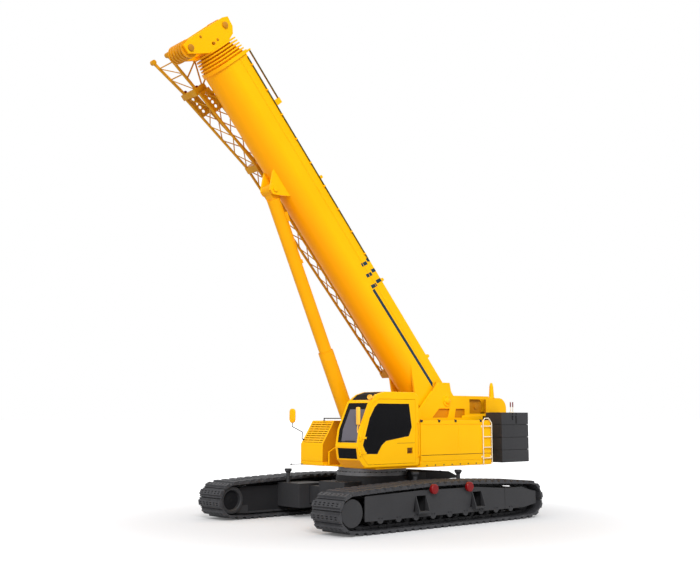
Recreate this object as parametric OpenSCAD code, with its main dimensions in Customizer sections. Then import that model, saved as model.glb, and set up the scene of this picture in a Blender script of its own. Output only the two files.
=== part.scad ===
// Crawler crane with a telescopic boom and a lattice jib stowed beside it.
// Millimetres. +X forward, +Y left, +Z up, origin on the ground at the slew axis.

/* [Tracks] */
// distance between the track centres
gauge = 4476; // [4200:2:4800]
// width of a shoe
shoe_w = 950; // [800:10:1000]
// end wheel centre from the slew axis
wheel_x = 3000; // [2900:10:3300]
// end wheel centre above the ground
wheel_z = 480; // [470:2:500]
// radius of the shoe path on the end wheels
path_r = 366; // [356:2:376]
// shoes on one track
shoe_n = 60; // [48:2:68]
// thickness of a shoe plate
shoe_t = 40; // [30:1:45]
// height of a shoe lug
lug_h = 45; // [20:1:48]
// shoe path height on the upper carrier rollers
top_z = 946; // [930:2:966]
// cross beam centre from the slew axis
beam_x = 950; // [900:5:1100]
// cross beam width
beam_w = 460; // [400:5:480]

/* [Slewing platform] */
// underside of the slewing platform
deck_z = 1300; // [1290:2:1340]
// outer radius of the slew ring
ring_r = 900; // [820:5:940]
// half width of the slewing platform
deck_y = 1600; // [1540:5:1650]
// inner face of the boom frame plates
frame_y = 500; // [490:2:520]
// thickness of a boom frame plate
frame_t = 60; // [40:2:60]
// counterweight slab thickness
slab_t = 320; // [280:2:330]
// counterweight slabs
slab_n = 4; // [2:1:4]

/* [Cab and houses] */
// cab inner face from the centre line
cab_in = 800; // [760:5:830]
// cab length along its widest line
cab_len = 1990; // [1900:10:2100]
// cab height
cab_h = 1790; // [1750:5:1850]
// cab wall thickness
cab_wall = 40; // [30:1:45]
// left house height
house_h = 1000; // [900:10:1050]
// right hood height
hood_h = 1030; // [950:10:1060]

/* [Boom] */
// luffing angle at rest
luff = 49.1; // [30:0.1:70]
// boom foot pin along X
foot_x = -2200; // [-2300:10:-2100]
// boom foot pin height
foot_z = 2950; // [2900:10:3050]
// half width of the base section
boom_hw = 450; // [430:2:460]
// top of the base section over the foot pin line
boom_top = 285; // [270:1:300]
// length of the base section ahead of the foot pin
boom_len = 10460; // [9800:10:11000]
// plate thickness of the boom sections
boom_wall = 12; // [8:1:14]
// step in half width from one section to the next
boom_step = 28; // [26:1:29]
// boom head pin line ahead of the last collar
head_len = 330; // [300:5:400]

/* [Lift cylinder] */
// boom lug pin ahead of the foot pin
lug_t = 7380; // [7200:10:7600]
// boom lug pin below the foot pin line
lug_n = 900; // [890:5:950]
// lower pin along X
low_x = 456; // [420:2:480]
// lower pin height
low_z = 1750; // [1740:2:1800]
// barrel radius
barrel_r = 160; // [140:1:164]

/* [Hidden] */
$fn = 48;
track_y = gauge / 2;
fr_in = track_y - 290;
fr_out = track_y + 420;
fr_bot = 330;
fr_top = 790;
sleeve_in = 1050;
sleeve_w = beam_w / 2 + 60;
sleeve_out = sleeve_w + 280;
sleeve_z = [260, 860];
slot_w = beam_w / 2 + 15;
guard_z = 175;
cap_r = 115;
cap_h = 60;
seam_x = -2060;
disc_r = 300;
post_y = track_y - 600;
post_top = deck_z - 90;
post_r = 50;
belt_edge = track_y + shoe_w / 2;
body_x = 1350;
body_y = 480;
body_top = 950;
beam_y = 1700;
ground_v = shoe_t + lug_h;
flat_x = wheel_x - 550;
strand = 65;
ring_top = deck_z - 130;
floor_z = deck_z + 30;
house_z = deck_z + 140;
house_top = house_z + house_h;
hood_z = deck_z + 100;
hood_top = hood_z + hood_h;
cab_z = floor_z;
cab_top = cab_z + cab_h;
cab_out = deck_y;
door_y = cab_out - cab_wall;
n0 = -230;
sect_n = 6;
collar_t = 60;
collar_gap = 15;
last_t = boom_len + (sect_n - 1) * (collar_gap + collar_t);
pin_t = last_t + head_len;
cab_x = -80;
cw_z = floor_z;
cw_front = foot_x - 990;
cw_back = cw_front - 1170;
cw_gap = 10;
cw_notch = 1050;
drum_x = foot_x - 1230;
drum_z = foot_z - 150;
drum_r = 220;
drum_w = 430;
drum_shaft = 60;
bay_x = drum_x - 470;
rear_x = bay_x - 750;
hood_r = 300;
house_x0 = foot_x - 550;
house_x1 = cab_x - 70;
house_in = 620;
sheet = 30;
rail_x = foot_x - 205;
ladder_w = 320;
hood_x0 = foot_x - 200;
hood_x1 = foot_x + 3330;
hood_out = deck_y - 100;
hood_in = house_in;
cw_top = cw_z + slab_n * (slab_t + cw_gap) - cw_gap;
bay_z = cw_top - 100;
lug_x0 = foot_x + lug_t * cos(luff) + lug_n * sin(luff);
lug_z0 = foot_z + lug_t * sin(luff) - lug_n * cos(luff);
lift_a = atan2(low_z - lug_z0, low_x - lug_x0);
lift_l = norm([low_x - lug_x0, low_z - lug_z0]);
barrel_l = 4350;
pin_r = 90;
shaft_r = 70;
run_gap = 0.5;
rod_r = barrel_r - 55;

// Plain helpers: a box, a shaft along Y, a slab cut from an XZ outline and a bar.
module bx(x0, x1, y0, y1, z0, z1) {
  translate([x0, y0, z0]) cube([x1 - x0, y1 - y0, z1 - z0]);
}
module shaft(x, z, r, y0, y1) {
  translate([x, y1, z]) rotate([90, 0, 0]) cylinder(h = y1 - y0, r = r);
}
module slab(pts, y0, y1) {
  translate([0, y1, 0]) rotate([90, 0, 0]) linear_extrude(height = y1 - y0) polygon(pts);
}
module bar(a, b, r, n) {
  v = b - a;
  translate(a) rotate([0, acos(v[2] / norm(v)), atan2(v[1], v[0])]) rotate([0, 0, 45])
    cylinder(h = norm(v), r = r, $fn = n);
}

// Outline tools: unit vector, a polygon moved inwards by d, and an arc.
function unit(v) = v / norm(v);
function prv(p, i) = p[(i + len(p) - 1) % len(p)];
function nxt(p, i) = p[(i + 1) % len(p)];
function left_n(v) = [-v[1], v[0]];
function corner(a, b, c, d) =
  let (u = unit(b - a), w = unit(c - b), m = left_n(u) + left_n(w))
  b + m * (2 * d / (m * m));
function inset(p, d) = [for (i = [0:len(p) - 1]) corner(prv(p, i), p[i], nxt(p, i), d)];
function arc_pts(cx, cz, r, a0, a1, n) =
  [for (i = [0:n]) [cx + r * cos(a0 + (a1 - a0) * i / n), cz + r * sin(a0 + (a1 - a0) * i / n)]];

// Shoe path: flat on the ground, lifted at both end wheels, arched over the carriers.
path = concat(
  [[-flat_x, ground_v], [flat_x, ground_v]],
  arc_pts(wheel_x, wheel_z, path_r, -87, 87, 12),
  [[wheel_x - 1050, top_z - 48], [600, top_z], [-600, top_z], [1050 - wheel_x, top_z - 48]],
  arc_pts(-wheel_x, wheel_z, path_r, 93, 267, 12));
function seg(i) = norm(nxt(path, i) - path[i]);
function upto(i) = i == 0 ? 0 : upto(i - 1) + seg(i - 1);
reach = [for (i = [0:len(path)]) upto(i)];
loop = reach[len(path)];
pitch = loop / shoe_n;
function seek(s, i) = reach[i + 1] >= s ? i : seek(s, i + 1);
function wrap(s) = s - floor(s / loop) * loop;
function on_path(s) =
  let (q = wrap(s), i = seek(q, 0))
  path[i] + (nxt(path, i) - path[i]) * ((q - reach[i]) / seg(i));
shoe_h = 0.47 * pitch;
lug_foot = 0.32 * pitch;
lug_face = 0.26 * pitch;
shoe_pts = [[-shoe_h, 0], [-shoe_h, -shoe_t], [-lug_foot, -shoe_t], [-lug_face, -ground_v],
  [lug_face, -ground_v], [lug_foot, -shoe_t], [shoe_h, -shoe_t], [shoe_h, 0]];
function turned(p, m, u) = m + u * p[0] + left_n(u) * p[1];
function shoe_at(k) =
  let (a = on_path(k * pitch - 0.4 * pitch), b = on_path(k * pitch + 0.4 * pitch))
  [for (p = shoe_pts) turned(p, (a + b) / 2, unit(b - a))];
belt_out = [for (k = [0:shoe_n - 1]) each shoe_at(k)];

module track_belt() {
  translate([0, track_y + shoe_w / 2, 0]) rotate([90, 0, 0]) linear_extrude(height = shoe_w)
    difference() {
      polygon(belt_out);
      polygon(inset(path, 30));
    }
  for (s = [-1, 1])
    translate([0, track_y + s * 90 + 25, 0]) rotate([90, 0, 0]) linear_extrude(height = 50)
      difference() {
        polygon(inset(path, 25));
        polygon(inset(path, strand));
      }
}

roller_x = [for (i = [-4:4]) i * 550 * wheel_x / 3000];
carry_x = [600, -600];
carry_r = 44;
carry_z = top_z - strand - carry_r - run_gap;
cap_z = carry_z + 50;

module track_frame() {
  difference() {
    union() {
      slab([[-wheel_x - 200, 360], [-wheel_x - 200, 640], [-wheel_x + 350, fr_top],
        [wheel_x - 350, fr_top], [wheel_x + 160, 620], [wheel_x + 160, 360], [wheel_x - 350, fr_bot],
        [-wheel_x + 350, fr_bot]], fr_in, fr_in + 40);
      slab([[-wheel_x - 200, 360], [-wheel_x - 200, 640], [-wheel_x + 350, fr_top],
        [wheel_x - 560, fr_top], [wheel_x - 360, 740], [wheel_x - 360, fr_bot],
        [-wheel_x + 350, fr_bot]], fr_out - 40, fr_out);
      bx(-flat_x, flat_x, fr_in, fr_out, fr_top - 40, fr_top);
      bx(-flat_x, flat_x, fr_in, fr_out, fr_bot, fr_bot + 40);
      bx(-flat_x, flat_x, fr_in, fr_in + 20, guard_z, fr_bot + 10);
      for (x = [-beam_x, beam_x]) bx(x - sleeve_w, x + sleeve_w, fr_in, fr_out - 40, fr_bot, 830);
      for (x = roller_x) for (y = [-160, 135])
        slab([[x - 70, fr_bot + 5], [x + 70, fr_bot + 5], [x + 45, 185], [x - 45, 185]],
          track_y + y, track_y + y + 25);
      for (x = carry_x) bx(x - 45, x + 45, fr_out - 60, fr_out, fr_top - 10, carry_z + 40);
    }
    for (x = [-beam_x, beam_x]) {
      bx(x - slot_w, x + slot_w, fr_in - 10, fr_out - 40, 345, 815);
      slab([[x - 245, 400], [x + 245, 400], [x + 165, 750], [x - 165, 750]], fr_out - 45, fr_out + 5);
    }
    bx(seam_x - 6, seam_x + 6, fr_out - 8, fr_out + 5, fr_bot - 5, fr_top + 5);
  }
}
module track_sleeves(posts) {
  for (x = [-beam_x, beam_x]) difference() {
    bx(x > 0 ? x - sleeve_w : x - sleeve_out, x > 0 ? x + sleeve_out : x + sleeve_w, sleeve_in, fr_in,
      sleeve_z[0], sleeve_z[1]);
    bx(x - slot_w, x + slot_w, sleeve_in - 10, fr_in + 10, 345, 815);
  }
  for (x = posts) {
    bx(x - 90, x + 90, post_y - 80, fr_in, fr_top - 80, fr_top - 20);
    translate([x, post_y, fr_top - 20]) cylinder(h = post_top - fr_top, r = post_r, $fn = 24);
    translate([x, post_y, post_top - 110]) cylinder(h = 60, r1 = post_r, r2 = post_r + 42, $fn = 24);
    translate([x, post_y, post_top - 50]) cylinder(h = 50, r = post_r + 42, $fn = 24);
  }
}
module track_drive() {
  shaft(wheel_x, wheel_z, 270, fr_in + 40, fr_out - 100);
  difference() {
    shaft(wheel_x, wheel_z, path_r - 40, track_y - 50, track_y + 50);
    for (i = [0:11]) translate([wheel_x, track_y, wheel_z]) rotate([0, i * 30, 0])
      translate([path_r - 28, 60, 0]) rotate([90, 0, 0]) cylinder(h = 120, r = 50, $fn = 16);
  }
  shaft(wheel_x, wheel_z, disc_r - 30, track_y + 180, fr_out - 60);
  shaft(wheel_x, wheel_z, disc_r, fr_out - 60, fr_out - 15);
}
module track_rollers() {
  for (x = roller_x) {
    z = ground_v + strand + 85;
    shaft(x, z, 85, track_y - 120, track_y + 120);
    shaft(x, z, 90, track_y - 55, track_y + 55);
    shaft(x, z, 35, track_y - 135, track_y + 135);
  }
  shaft(-wheel_x, wheel_z, path_r - 70, track_y - 130, track_y + 130);
  shaft(-wheel_x, wheel_z, path_r - 40, track_y - 50, track_y + 50);
  shaft(-wheel_x, wheel_z, 70, fr_in + 40, fr_out - 40);
}
module track_carriers() {
  for (x = carry_x) {
    shaft(x, carry_z, carry_r, track_y - 125, track_y + 125);
    shaft(x, carry_z, 24, track_y, fr_out - 60);
    shaft(x, carry_z, carry_r, fr_out, belt_edge + 10);
    translate([x, belt_edge + 8, cap_z]) rotate([-90, 0, 0]) cylinder(h = cap_h, r = cap_r, $fn = 32);
    translate([x, belt_edge + 8 + cap_h, cap_z]) rotate([-90, 0, 0])
      cylinder(h = 20, r1 = cap_r, r2 = cap_r - 20, $fn = 32);
  }
}

module track_frame_l() { color([0.24, 0.24, 0.25]) track_frame(); }
module track_sleeves_l() { color([0.24, 0.24, 0.25]) track_sleeves([100, -1.5 * beam_x]); }
module track_belt_l() { color([0.2, 0.2, 0.21]) track_belt(); }
module track_drive_l() { color([0.26, 0.26, 0.27]) track_drive(); }
module track_rollers_l() { color([0.2, 0.2, 0.21]) track_rollers(); }
module track_carriers_l() { color([0.5, 0.06, 0.08]) track_carriers(); }
module track_frame_r() { color([0.24, 0.24, 0.25]) mirror([0, 1, 0]) track_frame(); }
module track_sleeves_r() { color([0.24, 0.24, 0.25]) mirror([0, 1, 0]) track_sleeves([1.5 * beam_x]); }
module track_belt_r() { color([0.2, 0.2, 0.21]) mirror([0, 1, 0]) track_belt(); }
module track_drive_r() { color([0.26, 0.26, 0.27]) mirror([0, 1, 0]) track_drive(); }
module track_rollers_r() { color([0.2, 0.2, 0.21]) mirror([0, 1, 0]) track_rollers(); }
module track_carriers_r() { color([0.5, 0.06, 0.08]) mirror([0, 1, 0]) track_carriers(); }

// Carbody: centre box, two cross beams for the track sleeves, slew ring seat.
module carbody() {
  color([0.24, 0.24, 0.25]) difference() {
    union() {
      bx(-body_x, body_x, -body_y, body_y, fr_bot, body_top);
      for (x = [-beam_x, beam_x])
        bx(x - beam_w / 2, x + beam_w / 2, -beam_y, beam_y, 360, 800);
      for (x = [-beam_x, beam_x]) for (y = [300 - beam_y, beam_y - 300])
        bx(x - 150, x + 150, y - 60, y + 60, 345 + run_gap, 815 - run_gap);
      translate([0, 0, 870]) cylinder(h = ring_top - 120 - 870, r = ring_r + 20);
      for (s = [-1, 1])
        bx(s > 0 ? body_x : -body_x - 130, s > 0 ? body_x + 130 : -body_x, -40, 40, 480, 760);
    }
    for (s = [-1, 1]) shaft(s * (body_x + 65), 620, 40, -60, 60);
  }
}
module slew_ring_lower() {
  color([0.62, 0.63, 0.64]) translate([0, 0, ring_top - 120]) difference() {
    cylinder(h = 120, r = ring_r);
    translate([0, 0, -5]) cylinder(h = 130, r = ring_r - 180);
  }
}
module slew_ring_upper() {
  color([0.62, 0.63, 0.64]) difference() {
    union() {
      translate([0, 0, ring_top + 6]) cylinder(h = deck_z - ring_top - 6, r = ring_r - 40);
      translate([0, 0, ring_top - 70]) cylinder(h = 150, r = ring_r - 180 - run_gap);
    }
    translate([0, 0, ring_top - 80]) cylinder(h = 300, r = ring_r - 240);
  }
}

// Slewing platform: centre plate, side decks, cab carrier and counterweight tray.
module platform() {
  color([0.98, 0.76, 0.05]) union() {
    bx(cw_back + 80, hood_x1 - 40, -frame_y - frame_t - 80, frame_y + frame_t + 80, deck_z, floor_z);
    bx(house_x0 - 10, house_x1 + 20, house_in - 20, deck_y, deck_z, house_z);
    bx(house_x1 + 20, 1300, house_in - 20, deck_y - 40, deck_z, floor_z);
    bx(hood_x0 - 20, hood_x1, -hood_out, 20 - house_in, deck_z, hood_z);
  }
}

// Boom frame: two eared side plates, floor box, lift cylinder ears, foot pin.
module boom_frame() {
  top_z0 = foot_z + 140;
  p = [[1000, floor_z], [1000, floor_z + 320], [200, low_z + 300], [-900, foot_z - 500],
    [foot_x + 550, foot_z + 250], [foot_x + 380, foot_z + 480], [foot_x - 120, foot_z + 480],
    [foot_x - 170, foot_z + 260], [foot_x - 260, top_z0], [bay_x, top_z0],
    [bay_x, bay_z], [cw_front + 20, bay_z], [cw_front + 20, floor_z]];
  pocket_z = [foot_z - 450, foot_z - 210];
  color([0.98, 0.76, 0.05]) {
    difference() {
      for (s = [-1, 1])
        slab(p, s > 0 ? frame_y : -frame_y - frame_t, s > 0 ? frame_y + frame_t : -frame_y);
      for (s = [-1, 1]) {
        y0 = s > 0 ? frame_y + 8 : -frame_y - frame_t - 10;
        y1 = s > 0 ? frame_y + frame_t + 10 : -frame_y - 8;
        slab([[foot_x + 560, pocket_z[0]], [foot_x - 30, pocket_z[0]], [foot_x - 110, pocket_z[1]],
          [foot_x + 300, pocket_z[1]]], y0, y1);
        slab([[foot_x - 290, pocket_z[0]], [foot_x - 700, pocket_z[0]], [foot_x - 700, pocket_z[1]],
          [foot_x - 350, pocket_z[1]]], y0, y1);
      }
      slab([[drum_x + 330, bay_z + 70], [drum_x - 350, bay_z + 70], [drum_x - 350, foot_z + 50],
        [drum_x + 330, foot_z + 50]], frame_y - 50, frame_y + frame_t + 140);
    }
    bx(cw_front + 40, -300, -frame_y, frame_y, floor_z, low_z);
    bx(120, 200, -frame_y, frame_y, floor_z, low_z - 130);
    for (s = [-1, 1]) {
      slab([[120, floor_z], [820, floor_z], [low_x + 150, low_z + 90], [low_x + 60, low_z + 160],
        [low_x - 60, low_z + 160], [low_x - 150, low_z + 90], [120, low_z - 130]],
        s > 0 ? 205 : -265, s > 0 ? 265 : -205);
      shaft(low_x, low_z, 105, s > 0 ? 265 : -300, s > 0 ? 300 : -265);
    }
    shaft(foot_x, foot_z, pin_r, -frame_y - frame_t - 40, frame_y + frame_t + 40);
    for (s = [-1, 1])
      shaft(foot_x, foot_z, 150, s > 0 ? frame_y + frame_t : -frame_y - frame_t - 25,
        s > 0 ? frame_y + frame_t + 25 : -frame_y - frame_t);
    shaft(drum_x, drum_z, drum_shaft, -frame_y, frame_y);
  }
}
module rear_housing() {
  color([0.98, 0.76, 0.05]) {
    slab(concat([[bay_x, cw_top], [bay_x, foot_z + hood_r - 200]],
      arc_pts(rear_x + hood_r, foot_z - 200, hood_r, 90, 180, 10), [[rear_x, cw_top]]),
      -frame_y - frame_t, frame_y + frame_t);
    translate([bay_x - 210, frame_y - 20, foot_z + 90]) cylinder(h = 330, r1 = 75, r2 = 55, $fn = 24);
    translate([bay_x - 210, frame_y - 20, foot_z + 420]) cylinder(h = 100, r1 = 55, r2 = 30, $fn = 24);
  }
}
module winch_drum() {
  color([0.98, 0.76, 0.05]) difference() {
    union() {
      shaft(drum_x, drum_z, drum_r, -drum_w, drum_w);
      for (s = [-1, 1])
        shaft(drum_x, drum_z, drum_r + 65, s > 0 ? drum_w : -drum_w - 40, s > 0 ? drum_w + 40 : -drum_w);
    }
    shaft(drum_x, drum_z, drum_shaft + run_gap, -drum_w - 50, drum_w + 50);
  }
}
module counterweight() {
  color([0.24, 0.24, 0.25]) difference() {
    union() {
      for (i = [0:slab_n - 1])
        translate([0, 0, cw_z + i * (slab_t + cw_gap)]) linear_extrude(height = slab_t)
          polygon([[cw_front, -deck_y], [cw_front, deck_y], [cw_back + 60, deck_y],
            [cw_back, deck_y - 100], [cw_back, 100 - deck_y], [cw_back + 60, -deck_y]]);
      bx(cw_back + 220, cw_front - 60, 60 - deck_y, deck_y - 60, cw_z + 20, cw_top - slab_t - cw_gap - 20);
      for (s = [-1, 1])
        translate([cw_front - 510, s * (deck_y - 350), cw_z + 20]) cylinder(h = cw_top - cw_z - 40, r = 120);
    }
    bx(cw_back + 140, cw_front + 20, -cw_notch, cw_notch, cw_top - slab_t - 5, cw_top + 10);
    for (s = [-1, 1]) for (k = [0, 1])
      bx(cw_front - 480 - k * 150, cw_front - 425 - k * 150, s > 0 ? deck_y - 45 : -deck_y - 10,
        s > 0 ? deck_y + 10 : 45 - deck_y, cw_top - 200 - k * 100, cw_top + 10);
  }
}

// Left house behind the cab and right hood over the engine, both open below.
module left_house() {
  mid = house_x0 + 0.48 * (house_x1 - house_x0);
  color([0.98, 0.76, 0.05]) difference() {
    bx(house_x0, house_x1, house_in, deck_y, house_z, house_top);
    bx(house_x0 + sheet, house_x1 - sheet, house_in + sheet, deck_y - sheet,
      house_z - 10, house_top - sheet);
    bx(mid - 6, mid + 6, deck_y - 8, deck_y + 5, house_z + 150, house_top - 110);
    for (z = [house_top - 110, house_z + 150])
      bx(house_x0 - 5, house_x1 + 5, deck_y - 8, deck_y + 5, z - 6, z + 6);
  }
}
nose_z = hood_z + 0.422 * hood_h;
nose_x = hood_x1 - 390;
hood_pts = [[hood_x0, hood_z], [hood_x1, hood_z], [hood_x1, nose_z], [nose_x, hood_top],
  [hood_x0, hood_top]];
slope_u = unit([nose_x - hood_x1, hood_top - nose_z]);
slope_n = [slope_u[1], -slope_u[0]];
slope_l = norm([nose_x - hood_x1, hood_top - nose_z]);
hole_s = [55, slope_l - 55];
hole_y = [60 - hood_out, -hood_in - 60];
function on_slope(s, d) = [hood_x1, nose_z] + slope_u * s + slope_n * d;
module right_hood() {
  color([0.98, 0.76, 0.05]) difference() {
    slab(hood_pts, -hood_out, -hood_in);
    slab([[hood_x0 + sheet, hood_z - 10], [hood_x1 - sheet, hood_z - 10], [hood_x1 - sheet, nose_z - 10],
      [nose_x - 14, hood_top - sheet], [hood_x0 + sheet, hood_top - sheet]],
      -hood_out + sheet, -hood_in - sheet);
    slab([on_slope(hole_s[0], 40), on_slope(hole_s[1], 40), on_slope(hole_s[1], -60),
      on_slope(hole_s[0], -60)], hole_y[0], hole_y[1]);
  }
}
slat_n = 9;
module hood_grille() {
  step = (hole_s[1] - hole_s[0]) / slat_n;
  color([0.98, 0.76, 0.05]) {
    for (i = [0:slat_n - 1]) {
      c = hole_s[0] + (i + 0.5) * step;
      slab([on_slope(c - 0.4 * step, 6), on_slope(c + 0.4 * step, -10), on_slope(c + 0.4 * step, -18),
        on_slope(c - 0.4 * step, -2)], hole_y[0] + run_gap, hole_y[1] - run_gap);
    }
    for (f = [0.2, 0.5, 0.8]) {
      y = hole_y[0] + f * (hole_y[1] - hole_y[0]);
      slab([on_slope(hole_s[0] + run_gap, -6), on_slope(hole_s[1] - run_gap, -6),
        on_slope(hole_s[1] - run_gap, -28), on_slope(hole_s[0] + run_gap, -28)], y - 8, y + 8);
    }
  }
}
module engine() {
  color([0.3, 0.3, 0.32])
    bx(hood_x0 + 350, hood_x0 + 1900, 100 - hood_out, -hood_in - 100, hood_z, hood_top - 210);
}
module ladder() {
  y = deck_y + 50;
  r = 20;
  top = house_top - 100;
  color([0.85, 0.85, 0.86]) {
    for (x = [rail_x, rail_x - ladder_w]) {
      translate([x, y, floor_z]) cylinder(h = top + r - floor_z, r = r, $fn = 16);
      bar([x, y, top], [x - 60, y - 30, house_top + 60], 16, 12);
      for (z = [house_z + 60, top - 60]) bar([x, y, z], [x, deck_y, z], 12, 12);
    }
    bar([rail_x - 60, y - 30, house_top + 60], [rail_x - 60 - ladder_w, y - 30, house_top + 60], 16, 12);
    for (i = [0:4]) {
      z = floor_z + 60 + i * 215;
      bar([rail_x, y, z], [rail_x - ladder_w, y, z], 16, 12);
    }
  }
}
arm_s = 125;
arm_pts = [on_slope(arm_s, 0), on_slope(arm_s, 60), [hood_x1 - 30, nose_z + 300],
  [hood_x1 + 310, nose_z + 445], [hood_x1 + 300, nose_z + 545]];
arm_r = 13;
module fittings() {
  y = 30 - hood_out;
  color([0.95, 0.75, 0.1]) {
    for (i = [0:3]) {
      a = arm_pts[i];
      b = arm_pts[i + 1] + unit(arm_pts[i + 1] - a) * (i < 3 ? arm_r : 0);
      bar([a[0], y, a[1]], [b[0], y, b[1]], arm_r, 12);
    }
    bx(arm_pts[4][0] - 22, arm_pts[4][0] + 22, y - 110, y + 110, arm_pts[4][1] - 10, arm_pts[4][1] + 355);
  }
}

// Operator cab: one side outline cut into base, shell and roof.
cab_share = [[0, 0], [0.885, 0], [0.975, 0.112], [1, 0.285], [0.965, 0.503], [0.811, 0.860],
  [0.690, 0.961], [0.560, 1], [0.061, 1], [0, 0.950]];
cab_pts = [for (f = cab_share) [cab_x + f[0] * cab_len, cab_z + f[1] * cab_h]];
door_share = [[0.061, 0.053], [0.840, 0.053], [0.926, 0.156], [0.952, 0.296], [0.905, 0.492],
  [0.765, 0.838], [0.663, 0.899], [0.061, 0.899]];
door_pts = [for (f = door_share) [cab_x + f[0] * cab_len, cab_z + f[1] * cab_h]];
pane_share = [[0.121, 0.531], [0.171, 0.411], [0.553, 0.351], [0.618, 0.300], [0.693, 0.186],
  [0.864, 0.190], [0.920, 0.302], [0.814, 0.651], [0.733, 0.793], [0.679, 0.841], [0.166, 0.841]];
pane_pts = [for (f = pane_share) [cab_x + f[0] * cab_len, cab_z + f[1] * cab_h]];
cab_cut = cab_z + 0.933 * cab_h;
screen_lo = cab_z + 0.335 * cab_h;
screen_hi = cab_z + 0.849 * cab_h;
low_lo = cab_z + 0.128 * cab_h;
low_hi = cab_z + 0.263 * cab_h;

module cab_cutters() {
  front = cab_x + 0.693 * cab_len;
  bx(front, 2 * front, cab_in + 60, cab_out - 60, screen_lo, screen_hi);
  bx(front, 2 * front, cab_in + 70, cab_out - 70, low_lo, low_hi);
  bx(cab_x - 50, cab_x + 200, cab_in + 110, cab_out - 110, cab_z + 0.391 * cab_h, cab_z + 0.855 * cab_h);
  slab(pane_pts, cab_in - 20, cab_in + 60);
}
module roof_cutter() {
  bx(cab_x + 0.548 * cab_len, cab_x + 0.845 * cab_len, cab_in + 70, cab_out - 90,
    cab_z + 0.888 * cab_h, cab_top + 50);
}
hinge_x = cab_x + 0.965 * cab_len;
hinge_y = cab_out + 20;
hinge_z = [cab_z + 0.201 * cab_h, cab_z + 0.397 * cab_h];
module hinge_pins() {
  for (z = hinge_z) {
    for (e = [-60, 25]) {
      translate([hinge_x, hinge_y, z + e]) cylinder(h = 35, r = 18, $fn = 24);
      bx(hinge_x - 8, hinge_x + 28, cab_out - 5, hinge_y + 8, z + e, z + e + 35);
    }
    translate([hinge_x, hinge_y, z - 60]) cylinder(h = 120, r = 9, $fn = 24);
  }
}
module hinge_straps() {
  for (z = hinge_z) difference() {
    union() {
      translate([hinge_x, hinge_y, z - 24]) cylinder(h = 48, r = 18, $fn = 24);
      bx(hinge_x - 190, hinge_x, cab_out + 2, cab_out + 14, z - 24, z + 24);
      bx(hinge_x - 190, hinge_x - 110, cab_out - 5, cab_out + 8, z - 24, z + 24);
    }
    translate([hinge_x, hinge_y, z - 30]) cylinder(h = 60, r = 9 + run_gap, $fn = 24);
  }
}
module cab_body() {
  difference() {
    slab(cab_pts, cab_in, cab_out);
    slab(inset(cab_pts, cab_wall), cab_in + cab_wall, cab_out - cab_wall);
    cab_cutters();
    roof_cutter();
    slab(inset(door_pts, -8), door_y - 60, cab_out + 20);
  }
}
module cab_base() {
  color([0.98, 0.76, 0.05]) intersection() {
    slab(cab_pts, cab_in, cab_out);
    bx(-500, 2500, 0, 2000, cab_z, cab_z + 70);
  }
}
module cab_shell() {
  color([0.98, 0.76, 0.05]) {
    intersection() {
      cab_body();
      bx(-500, 2500, 0, 2000, cab_z + 70, cab_cut);
    }
    hinge_pins();
  }
}
module cab_roof() {
  color([0.98, 0.76, 0.05]) intersection() {
    cab_body();
    bx(-500, 2500, 0, 2000, cab_cut, cab_top + 100);
  }
}
module cab_glass() {
  color([0.08, 0.08, 0.1, 0.6]) intersection() {
    difference() {
      slab(inset(cab_pts, 8), cab_in + 8, cab_out - 8);
      slab(inset(cab_pts, 18), cab_in + 18, cab_out - 18);
    }
    union() {
      cab_cutters();
      roof_cutter();
    }
  }
}
seat_y = (cab_in + cab_out) / 2;
module cab_seat() {
  color([0.15, 0.15, 0.16]) {
    bx(400, 820, seat_y - 170, seat_y + 170, cab_z + 70, cab_z + 330);
    bx(360, 880, seat_y - 230, seat_y + 230, cab_z + 330, cab_z + 460);
    bx(300, 420, seat_y - 210, seat_y + 210, cab_z + 460, cab_z + 1080);
    bx(310, 400, seat_y - 120, seat_y + 120, cab_z + 1080, cab_z + 1250);
  }
}
module cab_console() {
  color([0.2, 0.2, 0.22]) {
    for (y = [cab_in + cab_wall + 15, cab_out - cab_wall - 95])
      bx(450, 1050, y, y + 80, cab_z + 70, cab_z + 620);
    bx(1250, 1420, seat_y - 160, seat_y + 160, cab_z + 70, cab_z + 720);
  }
}
module cab_door() {
  color([0.98, 0.76, 0.05]) {
    difference() {
      slab(door_pts, door_y, cab_out);
      slab(pane_pts, door_y - 10, cab_out + 10);
      bx(cab_x + 0.107 * cab_len, cab_x + 0.201 * cab_len, cab_out - 25, cab_out + 10,
        cab_z + 0.174 * cab_h, cab_z + 0.258 * cab_h);
    }
    hinge_straps();
  }
}
module door_glass() {
  color([0.08, 0.08, 0.1, 0.6]) slab(pane_pts, cab_out - 18, cab_out - 8);
}

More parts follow.
